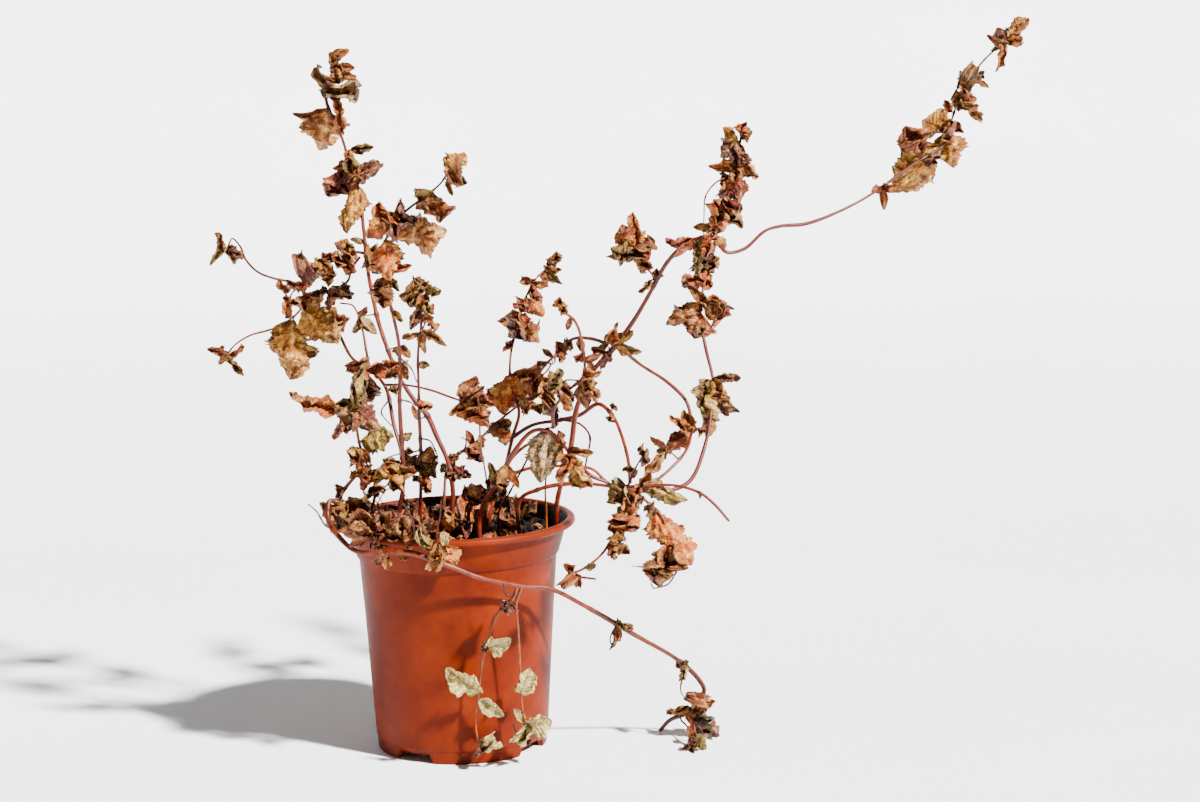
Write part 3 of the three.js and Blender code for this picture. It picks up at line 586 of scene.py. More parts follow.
@dataclass(frozen=True)
class DriedLeafBlade:
    """A dried, crumpled mint leaf: papery, with a raised midrib, side veins and a fine net between them.

    Veins are about 0.5 mm wide, and mottling of about 3.5 mm darkens the blade between them.
    """

    name: str = "dried_leaf_blade"
    vein: str = "#ffd9a0"
    vein_blend: str = "OVERLAY"
    vein_strength: float = 0.35
    net: str = "#9a7038"
    net_strength: float = 0.4
    mottle: str = "#9a6c38"
    mottle_mm: float = 3.5
    roughness: float = 0.44
    side_veins: float = 8
    slant: float = 1.5
    fineness: float = 1.0
    rib_fall: float = 9.0
    vein_fall: float = 7.0
    net_fall: float = 5.0

    def build(self) -> Finish:
        """Builds the leaf: its own tone under mottling, a net and veins, which are raised too.

        Returns:
            The material.
        """
        material, tree, shader = fresh(self.name, Roughness=self.roughness, IOR=1.45)
        tone = node(tree, "ShaderNodeAttribute", {"attribute_name": "tone"})
        place = node(tree, "ShaderNodeTexCoord")
        split = node(tree, "ShaderNodeSeparateXYZ", links={0: place.outputs["UV"]})
        # The midrib: 1 along the middle of the blade, falling to 0 a ninth of the way to the edge
        centred = node(tree, MATH, {"operation": "MULTIPLY_ADD", 1: 2.0, 2: -1.0}, {0: split.outputs[1]})
        out = node(tree, MATH, {"operation": "ABSOLUTE"}, {0: centred})
        ridge = {"operation": "MULTIPLY_ADD", "use_clamp": True, 2: 1.0}
        rib = node(tree, MATH, ridge | {1: -self.rib_fall * self.fineness}, {0: out})
        # The side veins: a repeated wave along the blade that slants towards the tip
        along_blade = node(tree, MATH, {"operation": "MULTIPLY", 1: self.side_veins}, {0: split.outputs[0]})
        run = node(tree, MATH, {"operation": "MULTIPLY_ADD", 1: -self.slant}, {0: out, 2: along_blade})
        step = node(tree, MATH, {"operation": "FRACT"}, {0: run})
        offset = node(tree, MATH, {"operation": "SUBTRACT", 1: 0.5}, {0: step})
        wave = node(tree, MATH, {"operation": "ABSOLUTE"}, {0: offset})
        side = node(tree, MATH, ridge | {1: -self.vein_fall * self.fineness}, {0: wave})
        veins = node(tree, MATH, {"operation": "MAXIMUM"}, {0: rib, 1: side})
        # The net between them, and the mottling
        stretch = node(tree, "ShaderNodeMapping", {"Scale": (26, 16, 1)}, {0: place.outputs["UV"]})
        cells = node(tree, VORONOI, {"feature": "DISTANCE_TO_EDGE", "Scale": 1.0}, {0: stretch})
        net = node(tree, MATH, ridge | {1: -self.net_fall}, {0: cells})
        from_place = {0: place.outputs["Object"]}
        coarse = {"Scale": 1 / METRE / self.mottle_mm, "Detail": 6, "Roughness": 0.65}
        spots = node(tree, NOISE, coarse, from_place)
        patches = node(tree, RAMP, {"stops": [(0.32, self.mottle), (0.58, "#ffffff")]}, {0: spots})
        colour = node(tree, MIX, MULTIPLIED | {MIX_FACTOR: 0.85}, {MIX_LOWER: tone, MIX_UPPER: patches})
        net_factor = node(tree, MATH, {"operation": "MULTIPLY", 1: self.net_strength}, {0: net})
        layers = {MIX_FACTOR: net_factor, MIX_LOWER: colour.outputs[MIX_COLOUR]}
        colour = node(tree, MIX, MULTIPLIED | {MIX_UPPER: linear(self.net)}, layers)
        vein_factor = node(tree, MATH, {"operation": "MULTIPLY", 1: self.vein_strength}, {0: veins})
        layers = {MIX_FACTOR: vein_factor, MIX_LOWER: colour.outputs[MIX_COLOUR]}
        over = {"data_type": "RGBA", "blend_type": self.vein_blend, MIX_UPPER: linear(self.vein)}
        colour = node(tree, MIX, over, layers)
        tree.links.new(colour.outputs[MIX_COLOUR], shader.inputs["Base Color"])
        raised = node(tree, MATH, {"operation": "MULTIPLY_ADD", 1: 0.6}, {0: veins, 2: spots})
        height = node(tree, MATH, {"operation": "MULTIPLY_ADD", 1: 0.35}, {0: net, 2: raised})
        bump = node(tree, "ShaderNodeBump", {"Strength": 1.0, "Distance": 0.0013}, {"Height": height})
        tree.links.new(bump.outputs[0], shader.inputs["Normal"])
        return material


@dataclass(frozen=True)
class PaintedStudioFloor:
    """A pale painted studio sweep: matt and even, so it only carries the soft shadows."""

    name: str = "painted_studio_floor"
    base: str = "#f6f6f6"
    worn: str = "#f2f1f0"
    roughness: float = 0.8

    def build(self) -> Finish:
        """Builds the paint: two near whites in broad, faint clouds.

        Returns:
            The material.
        """
        material, tree, shader = fresh(self.name, Roughness=self.roughness, Specular_IOR_Level=0.2)
        place = node(tree, "ShaderNodeTexCoord").outputs["Object"]
        noise = node(tree, NOISE, {"Scale": 3.0, "Detail": 3}, {0: place})
        colour = node(tree, RAMP, {"stops": [(0.3, self.worn), (0.7, self.base)]}, {0: noise})
        tree.links.new(colour.outputs[0], shader.inputs["Base Color"])
        return material


class Curl(Enum):
    """How a dried leaf has curled: degrees of fold at its midrib, curl of each half, bend along it, twist."""

    FLAT = (8, 30, 26, 16)
    CUP = (14, 98, -60, 24)
    DOME = (-12, -84, 66, -24)
    ROLL = (24, 108, 40, 40)
    PLEAT = (52, 24, 30, 12)
    HOOK = (20, 60, 115, -24)
    RING = (12, 24, 250, 10)


class Tone(Enum):
    """The colour of a leaf's outer side, as sRGB."""

    TAN = "#b06820"
    GOLD = "#b0700e"
    ORANGE = "#c4600a"
    BROWN = "#a6540a"
    DARK = "#6e2e0a"
    RED = "#9c3c08"
    OLIVE = "#8e701a"
    GREY = "#94784c"
    CREAM = "#e6cc78"
    GREEN = "#3e4010"


FLAT, CUP, DOME, ROLL, PLEAT, HOOK, RING = Curl
TAN, GOLD, ORANGE, BROWN, DARK, RED, OLIVE, GREY, CREAM, GREEN = Tone


@dataclass(frozen=True)
class Leaf:
    """A leaf in the front view: base, tip and width in its points, its form, and its tone or None."""

    base_x: float
    base_y: float
    tip_x: float
    tip_y: float
    width: float
    curl: Curl
    tone: Tone | None = None


def leaf_table(table: dict[str, list[tuple]]) -> dict[str, list[Leaf]]:
    """Turns a table's rows into leaves, under the same nodes."""
    return {name: [Leaf(*row) for row in rows] for name, rows in table.items()}


@dataclass(frozen=True)
class Branch:
    """A stem or twig in the front view.

    Its thickness at both ends and its route are in the view's points, and its depths in millimetres behind
    the pot's axis at even steps. One without depths starts on its node's nearest stem and drifts from there.
    """

    node: str
    thick: tuple[float, ...]
    depth: tuple[float, ...]
    route: list[Point]
    rooted: bool = False


BRANCHES = [
    Branch("stem_tall_left", (4.6, 2.4), (12, 22, 34, 46), [
        (452, 512), (453, 490), (447, 460), (437, 437), (427, 415), (413, 398), (400, 378), (388, 350),
        (378, 320), (371, 287), (367, 262), (363, 225), (360, 197), (350, 165), (340, 132), (326, 100),
        (330, 80), (337, 62),
    ], rooted=True),
    Branch("branch_left_high", (2.6, 1.6), (34, 18, 0, -18), [
        (367, 254), (355, 252), (344, 256), (330, 262), (312, 274), (305, 286), (292, 282), (273, 278),
        (258, 272), (246, 260), (240, 246), (232, 238.5), (228, 247),
    ]),
    Branch("branch_left_high", (1.8, 1.4), (0, -4), [
        (306, 284), (292, 293), (288, 304),
    ]),
    Branch("branch_left_low", (2.2, 1.6), (32, 44, 56, 62), [
        (360, 257), (352, 268), (347, 282), (325, 293), (309, 301), (292, 318), (272, 329), (249, 336),
        (234, 346), (227, 356),
    ]),
    Branch("stem_left_bent", (4.2, 1.6), (-25, -34, -46, -64), [
        (398, 520), (403, 485), (402, 450), (400, 410), (399, 345), (393, 315), (384, 280), (383, 248),
        (400, 217), (420, 200), (440, 184), (448, 172),
    ], rooted=True),
    Branch("stem_straight", (3.5, 1.8), (-5, -12, -18), [
        (420, 512), (421, 460), (419, 400), (418, 352), (421, 322), (418, 295), (413, 276),
    ], rooted=True),
    Branch("stem_left_arm", (4, 2.4), (5, 20, 45, 72), [
        (403, 500), (402, 455), (394, 425), (386, 388), (370, 370), (352, 358), (338, 332), (329, 318),
    ], rooted=True),
    Branch("stem_left_arm", (2.4, 1.6), (42, 52, 60), [
        (370, 370), (366, 350), (362, 328), (353, 306), (340, 303),
    ]),
    Branch("stem_left_low", (3.2, 2), (-10, -26, -44), [
        (338, 504), (344, 490), (357, 474), (363, 465), (358, 438), (352, 398),
    ]),
    Branch("stem_left_short", (3, 2), (5, -6, -20), [
        (372, 510), (375, 495), (373, 475), (365, 461),
    ], rooted=True),
    Branch("branch_middle_level", (2.5, 1.6), (22, -2, -30), [
        (384, 385), (405, 385), (430, 390), (450, 397), (468, 403),
    ]),
    Branch("stem_middle_slant", (3, 2), (26, 45, 68), [
        (444, 500), (450, 462), (475, 443), (500, 420), (528, 398), (550, 381),
    ], rooted=True),
    Branch("stem_front_arch", (4, 3), (-25, -42, -46, -40), [
        (480, 515), (500, 478), (517, 447), (533, 431), (548, 431), (563, 445), (577, 461), (590, 475),
        (609, 483),
    ], rooted=True),
    Branch("stem_back_arch", (3.5, 2.4), (-10, -18, -27), [
        (485, 510), (497, 485), (512, 458), (525, 446), (538, 440),
    ], rooted=True),
    Branch("stem_middle_tall", (3.6, 1.6), (20, 36, 56, 80), [
        (490, 515), (502, 478), (513, 435), (519, 412), (511, 385), (511, 355), (518, 322), (529, 290),
        (540, 274), (555, 266),
    ], rooted=True),
    Branch("branch_inner_curl", (2.6, 2), (-44, -60, -74), [
        (553, 428), (554, 410), (568, 391), (583, 376), (583, 348), (575, 321), (559, 309),
    ]),
    Branch("stem_right_rise", (4.6, 3.4), (10, 4, -8, -24, -42), [
        (557, 505), (562, 480), (571, 445), (577, 408), (592, 373), (616, 345), (634, 320), (650, 293),
        (670, 259), (690, 242), (713, 235),
    ], rooted=True),
    Branch("stem_right_rise", (1.8, 1.2), (-26, -14, -8), [
        (656, 284), (652, 274), (643, 265), (635, 250),
    ]),
    Branch("runner_far_right", (3.2, 1.5), (-42, -24, 4, 30), [
        (716, 238), (726, 252), (744, 249), (765, 231), (781, 226), (805, 224), (840, 211), (873, 193),
        (912, 165), (945, 143), (951, 122), (963, 88), (985, 59), (1004, 42), (1011, 34),
    ]),
    Branch("stem_right_sweep", (3.6, 1.8), (-34, -6, 34, 66, 84), [
        (612, 486), (640, 491), (668, 491), (690, 481), (704, 450), (711, 412), (713, 382), (705, 345),
        (700, 310), (707, 272), (714, 250), (718, 228), (730, 190), (738, 150), (741, 137),
    ]),
    Branch("stem_right_sweep", (1.6, 1.2), (76, 70, 72), [
        (732, 177), (718, 181), (706, 195), (704, 215), (704, 236),
    ]),
    Branch("branch_inner_sweep", (3.2, 2.6), (-9, 14, 14, -20, -33), [
        (617, 345), (640, 364), (670, 384), (686, 401), (691, 425), (686, 450), (672, 467), (652, 483),
        (640, 488),
    ]),
    Branch("branch_back_arch", (3, 2), (-6, 20, 45), [
        (608, 344), (590, 338.5), (573, 339), (561, 350), (547, 363), (536, 377),
    ]),
    Branch("stem_over_arch", (3.5, 3), (34, 18, 6, -14, -34), [
        (513, 437), (533, 425), (560, 420), (580, 415), (598, 404), (612, 415), (622, 437), (629, 465),
        (630, 483),
    ]),
    Branch("stem_over_arch", (2.2, 1.6), (14, 8, 2), [
        (562, 420), (580, 424), (590, 436), (587, 458), (583, 478),
    ]),
    Branch("stem_level_pink", (3.2, 2.6), (0, -14, -28, -34), [
        (470, 508), (495, 487), (520, 471), (545, 466.5), (575, 466.5), (592, 469), (607, 482),
    ], rooted=True),
    Branch("stem_low_right", (3.8, 3), (-20, -28, -36), [
        (520, 500), (537, 490), (560, 484.5), (590, 484), (608, 486),
    ], rooted=True),
    Branch("branch_low_tail", (2.8, 2.2), (-37, -44, -52), [
        (624, 487), (645, 486), (675, 485.5), (700, 493), (715, 505), (729, 521),
    ]),
    Branch("branch_low_tail", (2, 1.4), (-38, -46), [
        (628, 486), (635, 469), (645, 452),
    ]),
    Branch("shoot_down_left", (3.2, 1.8), (-37, -52, -62), [
        (625, 488), (624, 507), (616, 532), (602, 554), (585, 568), (571, 575), (580, 577), (596, 579),
    ]),
    Branch("petiole_right", (2.6, 1.8), (-38, -46, -52), [
        (634, 489), (645, 500), (662, 517), (668, 540), (662, 560),
    ]),
    Branch("stem_thin_pale", (2, 1.4), (4, -14, -30), [
        (546, 512), (546, 475), (549, 455), (552, 438),
    ], rooted=True),
    Branch("stem_thin_grey", (2, 1.4), (12, 20, 30), [
        (487, 505), (487, 485), (481, 445), (479, 410),
    ], rooted=True),
    Branch("stem_thin_dark", (2, 1.6), (-12, -26, -38), [
        (499, 512), (510, 492), (528, 458), (536, 443),
    ], rooted=True),
    Branch("stem_trailing", (4.8, 3.6), (-8, -24, -56, -69, -66, -52, -36, -22, -10, 0, 10), [
        (362, 524), (345, 508), (330, 501), (328, 518), (341, 539), (358, 552), (380, 553), (410, 553),
        (446, 565), (480, 578), (520, 586), (550, 589), (585, 606), (635, 635), (678, 660), (699, 680),
        (704, 691), (692, 710), (670, 720), (660, 731),
    ], rooted=True),
    Branch("stem_trailing", (2, 1.6), (0, -12, -28), [
        (692, 710), (691, 728), (697, 746),
    ]),
    Branch("stem_front_pale", (2.2, 1.6), (-44, -67, -70), [
        (403, 510), (398, 529), (415, 539), (445, 545), (458, 548),
    ]),
    Branch("hanger_long", (2.2, 1.4), (-66, -62, -57, -54), [
        (517, 588), (513, 598), (498, 614), (488, 640), (482, 665), (479, 690), (476, 725), (479, 749),
    ]),
    Branch("hanger_short", (2.2, 1.4), (-60, -58, -54, -52), [
        (521, 588), (516, 602), (518, 630), (520, 670), (522, 705), (525, 724),
    ]),
]

# The leaves that the solids have too, by the node that they grow from
SMALL_LEAVES = leaf_table({
    "stem_tall_left": [
        (334, 66, 349, 50, 10, HOOK), (333, 80, 322, 68, 14, RING), (333, 85, 356, 103, 14, ROLL),
        (333, 95, 344, 135, 9, PLEAT), (350, 150, 360, 182, 8, PLEAT), (355, 178, 380, 163, 14, HOOK),
        (350, 165, 356, 190, 10, ROLL), (338, 66, 355, 68, 9, FLAT), (366, 251, 380, 274, 17, DOME),
        (399, 366, 385, 377, 14, CUP), (400, 346, 410, 358, 10, FLAT),
    ],
    "branch_left_high": [
        (352, 251, 334, 243, 12, DOME), (343, 256, 345, 275, 12, ROLL), (312, 274, 302, 254, 16, RING),
        (326, 264, 328, 287, 12, CUP), (226, 248, 210, 266, 7, PLEAT), (292, 300, 289, 318, 9, HOOK),
    ],
    "branch_left_low": [
        (312, 298, 320, 308, 15, DOME), (328, 291, 329, 310, 8, PLEAT), (342, 286, 330, 305, 13, CUP),
        (227, 355, 207, 349, 6, PLEAT), (228, 356, 244, 376, 7, PLEAT),
    ],
    "stem_left_bent": [
        (448, 173, 464, 152, 15, DOME), (433, 192, 440, 223, 19, CUP), (396, 220, 367, 238, 18, DOME),
        (388, 275, 412, 265, 8, PLEAT), (399, 362, 408, 380, 9, FLAT), (402, 465, 395, 490, 12, ROLL),
    ],
    "stem_straight": [
        (414, 279, 441, 292, 10, PLEAT), (415, 284, 421, 306, 8, ROLL), (418, 297, 403, 300, 10, CUP),
        (419, 305, 411, 330, 7, PLEAT), (420, 332, 447, 346, 7, PLEAT), (421, 468, 431, 446, 14, DOME),
        (421, 475, 432, 492, 10, ROLL), (424, 462, 437, 478, 9, CUP),
    ],
    "stem_left_arm": [
        (330, 320, 350, 318, 16, CUP), (368, 366, 360, 403, 17, ROLL), (358, 318, 377, 334, 8, FLAT),
        (402, 452, 410, 468, 9, FLAT),
    ],
    "stem_left_low": [
        (352, 405, 380, 430, 16, DOME), (353, 408, 333, 404, 8, ROLL), (350, 411, 289, 392, 12, PLEAT),
        (352, 412, 334, 440, 7, PLEAT), (361, 460, 348, 452, 12, CUP), (361, 448, 371, 463, 9, FLAT),
        (360, 472, 363, 490, 8, ROLL),
    ],
    "stem_left_short": [(373, 470, 392, 477, 16, DOME)],
    "branch_middle_level": [(466, 402, 495, 406, 12, CUP), (462, 401, 489, 428, 13, ROLL)],
    "stem_middle_slant": [
        (476, 443, 482, 461, 11, ROLL), (497, 422, 505, 446, 18, DOME), (449, 464, 463, 476, 13, CUP),
        (550, 381, 543, 415, 13, ROLL), (548, 382, 568, 395, 12, CUP),
    ],
    "stem_front_arch": [
        (507, 465, 519, 488, 9, FLAT), (556, 437, 567, 443, 10, CUP), (570, 454, 562, 485, 9, ROLL),
        (572, 456, 581, 490, 10, DOME),
    ],
    "stem_back_arch": [(487, 500, 478, 488, 17, DOME), (496, 487, 489, 462, 10, FLAT)],
    "stem_middle_tall": [
        (522, 314, 497, 321, 14, FLAT), (518, 324, 539, 343, 18, DOME), (534, 282, 534, 303, 10, ROLL),
        (527, 298, 543, 317, 15, DOME), (556, 266, 556, 251, 11, CUP), (546, 271, 563, 284, 9, FLAT),
    ],
    "branch_inner_curl": [
        (560, 310, 560, 297, 10, CUP), (560, 399, 573, 409, 13, DOME), (577, 384, 600, 397, 9, ROLL),
    ],
    "stem_right_rise": [
        (614, 346, 618, 322, 8, PLEAT), (606, 352, 600, 370, 7, FLAT), (617, 345, 642, 352, 9, FLAT),
        (637, 254, 622, 224, 19, DOME), (637, 254, 612, 258, 13, FLAT), (636, 250, 633, 212, 9, PLEAT),
        (694, 240, 697, 275, 9, PLEAT), (704, 237, 706, 258, 9, ROLL),
    ],
    "runner_far_right": [
        (950, 122, 955, 143, 10, ROLL), (958, 100, 977, 99, 12, FLAT), (959, 104, 982, 121, 9, PLEAT),
        (966, 82, 957, 79, 11, CUP), (967, 84, 976, 68, 14, RING), (970, 78, 989, 88, 7, FLAT),
        (1005, 42, 995, 72, 6, PLEAT), (1006, 40, 1028, 18, 14, DOME), (884, 187, 884, 210, 8, FLAT),
    ],
    "stem_right_sweep": [
        (741, 137, 747, 122, 14, CUP), (738, 141, 720, 157, 16, DOME), (737, 158, 759, 177, 9, PLEAT),
        (735, 164, 708, 166, 12, FLAT), (734, 168, 729, 185, 9, ROLL), (732, 179, 740, 204, 15, DOME),
        (726, 205, 716, 234, 14, ROLL), (726, 206, 742, 229, 14, CUP), (716, 226, 693, 227, 9, FLAT),
        (713, 256, 700, 272, 12, CUP), (707, 272, 682, 286, 11, ROLL), (701, 302, 666, 325, 15, DOME),
        (713, 380, 702, 427, 13, ROLL), (712, 396, 729, 416, 9, FLAT), (714, 398, 740, 412, 9, FLAT),
    ],
    "branch_inner_sweep": [(690, 434, 662, 452, 14, DOME), (665, 447, 650, 436, 7, FLAT)],
    "branch_back_arch": [(565, 344, 557, 356, 10, ROLL)],
    "branch_low_tail": [(640, 486, 688, 500, 12, DOME)],
    "shoot_down_left": [
        (624, 505, 636, 532, 15, DOME), (625, 494, 628, 514, 13, FLAT), (620, 522, 619, 541, 8, ROLL),
        (612, 540, 630, 554, 10, CUP), (574, 576, 562, 584, 10, RING),
    ],
    "petiole_right": [(654, 508, 657, 523, 12, FLAT)],
    "stem_trailing": [
        (335, 506, 322, 516, 13, CUP), (345, 510, 361, 500, 12, DOME), (384, 553, 388, 570, 10, FLAT),
        (440, 563, 461, 549, 15, DOME), (617, 625, 610, 648, 6, PLEAT), (700, 700, 686, 696, 13, RING),
        (694, 708, 690, 724, 14, DOME), (694, 708, 717, 732, 12, ROLL), (692, 710, 698, 740, 9, FLAT),
    ],
    "stem_front_pale": [(415, 539, 432, 546, 9, ROLL)],
    "hanger_long": [
        (487, 648, 511, 639, 18, FLAT), (479, 700, 504, 716, 14, FLAT), (478, 742, 503, 747, 15, DOME),
    ],
    "hanger_short": [(520, 693, 529, 668, 20, FLAT), (525, 724, 526, 746, 12, ROLL)],
})

# The leaves that are nodes of their own, each with the node that it grows from
BIG_LEAVES = {
    "leaf_top_left": ("stem_tall_left", Leaf(327, 108, 319, 150, 30, DOME, TAN)),
    "leaf_left_cup": ("stem_tall_left", Leaf(344, 166, 328, 197, 22, CUP, RED)),
    "leaf_left_saw": ("stem_tall_left", Leaf(358, 186, 347, 234, 17, DOME, GOLD)),
    "leaf_dark_middle": ("stem_left_bent", Leaf(388, 221, 414, 226, 21, CUP, DARK)),
    "leaf_netted": ("stem_left_bent", Leaf(396, 238, 447, 230, 26, DOME, TAN)),
    "leaf_middle_drop": ("stem_left_bent", Leaf(384, 240, 391, 281, 20, DOME, ORANGE)),
    "leaf_tan_cup": ("stem_left_bent", Leaf(384, 277, 383, 309, 20, CUP, TAN)),
    "leaf_cluster_round": ("branch_left_low", Leaf(304, 308, 338, 344, 26, DOME, GOLD)),
    "leaf_cluster_long": ("branch_left_low", Leaf(294, 320, 290, 380, 30, DOME, GOLD)),
    "leaf_left_olive": ("stem_left_low", Leaf(361, 441, 394, 437, 20, DOME, OLIVE)),
    "leaf_brown_left": ("stem_middle_tall", Leaf(511, 374, 503, 415, 26, DOME, ORANGE)),
    "leaf_brown_right": ("stem_middle_tall", Leaf(512, 374, 544, 392, 26, CUP, BROWN)),
    "leaf_grey_hanging": ("branch_inner_curl", Leaf(546, 428, 541, 483, 22, DOME, GREY)),
    "leaf_sweep_right": ("stem_right_sweep", Leaf(702, 302, 732, 315, 18, CUP, ORANGE)),
    "leaf_sweep_down": ("stem_right_sweep", Leaf(702, 314, 694, 339, 23, DOME, RED)),
    "leaf_far_long": ("runner_far_right", Leaf(941, 146, 889, 192, 25, DOME, GOLD)),
    "leaf_far_dark": ("runner_far_right", Leaf(921, 156, 905, 126, 23, CUP, BROWN)),
    "leaf_far_crown": ("runner_far_right", Leaf(948, 128, 922, 120, 20, DOME, GOLD)),
    "leaf_far_gold": ("runner_far_right", Leaf(949, 130, 953, 168, 22, DOME, GOLD)),
    "leaf_junction_olive": ("branch_low_tail", Leaf(626, 485, 606, 502, 22, CUP, OLIVE)),
    "leaf_fan_left": ("petiole_right", Leaf(655, 514, 674, 549, 22, DOME, ORANGE)),
    "leaf_fan_low": ("petiole_right", Leaf(666, 544, 660, 588, 28, CUP, TAN)),
    "leaf_fan_right": ("petiole_right", Leaf(668, 536, 692, 565, 21, DOME, ORANGE)),
    "leaf_front_left": ("hanger_long", Leaf(480, 692, 446, 668, 24, FLAT, CREAM)),
    "leaf_front_right": ("hanger_short", Leaf(524, 726, 552, 721, 24, FLAT, CREAM)),
    "leaf_trailing_end": ("stem_trailing", Leaf(698, 741, 690, 753, 15, FLAT, OLIVE)),
}

# Twigs too thin for the solids, each with the node that it grows from
FINE_TWIGS = [
    Branch("stem_left_bent", (1.5, 1), (), [(405, 357), (411, 368), (417, 382)]),
    Branch("stem_straight", (1.4, 1), (), [(423, 334), (425, 322), (423, 308)]),
    Branch("stem_right_rise", (1.4, 1), (), [(657, 276), (652, 280), (645, 284)]),
    Branch("branch_back_arch", (1.5, 1), (), [(556, 370), (553, 364), (551, 358)]),
    Branch("branch_back_arch", (1.4, 1), (), [(550, 369), (546, 372), (542, 375)]),
    Branch("shoot_down_left", (1.6, 1), (), [(609, 545), (612, 546), (618, 543), (624, 540), (627, 538)]),
    Branch("petiole_right", (1.7, 1.2), (), [
        (668, 540), (673, 549), (678, 556), (678, 566), (674, 576), (668, 584), (660, 587), (653, 588),
        (651, 583),
    ]),
    Branch("branch_low_tail", (1.4, 1), (), [(695, 502), (700, 499), (699, 494)]),
    Branch("hanger_long", (1.6, 1.2), (), [(515, 595), (509, 596), (505, 592), (504, 584)]),
    Branch("hanger_short", (1.6, 1), (), [(521, 742), (518, 735), (512, 722)]),
    Branch("stem_trailing", (1.8, 1), (), [(330, 531), (325, 525), (320, 517), (317, 512), (308, 504)]),
    Branch("stem_front_pale", (1.5, 1), (), [(416, 536), (413, 522), (408, 512), (403, 503)]),
    Branch("stem_front_pale", (1.5, 1), (), [(437, 540), (437, 530), (440, 515), (441, 500)]),
    Branch("stem_trailing", (1.6, 1), (), [(615, 627), (612, 633), (610, 640), (612, 647), (609, 650)]),
    Branch("stem_trailing", (1.4, 1), (), [(612, 645), (618, 639), (622, 637)]),
    Branch("stem_trailing", (1.6, 1), (), [(680, 676), (681, 684), (681, 692), (684, 697), (688, 699)]),
    Branch("stem_trailing", (1.8, 1.2), (), [
        (688, 710), (681, 714), (681, 720), (686, 725), (690, 732), (694, 740), (697, 745),
    ]),
    Branch("stem_trailing", (1.5, 1), (), [(697, 745), (690, 744), (683, 744)]),
    Branch("stem_trailing", (1.5, 1), (), [(694, 729), (698, 726), (704, 735)]),
    Branch("stem_left_arm", (1.4, 1), (), [(383, 400), (381, 412), (386, 420), (393, 427)]),
    Branch("stem_left_bent", (1.5, 1), (), [(402, 400), (410, 402), (416, 406)]),
    Branch("stem_straight", (1.4, 1), (), [(418, 450), (410, 453), (400, 454), (388, 457)]),
    Branch("stem_left_short", (1.4, 1), (), [(374, 496), (383, 489), (391, 481)]),
    Branch("stem_straight", (1.5, 1), (), [
        (423, 438), (430, 441), (434, 448), (437, 455), (437, 462), (435, 470),
    ]),
    Branch("stem_middle_slant", (1.4, 1), (), [(463, 458), (465, 448), (466, 440), (461, 437)]),
    Branch("stem_thin_grey", (1.4, 1), (), [
        (479, 410), (479, 399), (480, 392), (476, 385), (482, 389), (486, 399),
    ]),
    Branch("branch_inner_curl", (1.4, 1), (), [(581, 382), (574, 380), (566, 380)]),
    Branch("stem_left_arm", (1.4, 1), (), [(352, 372), (360, 373), (368, 378)]),
]

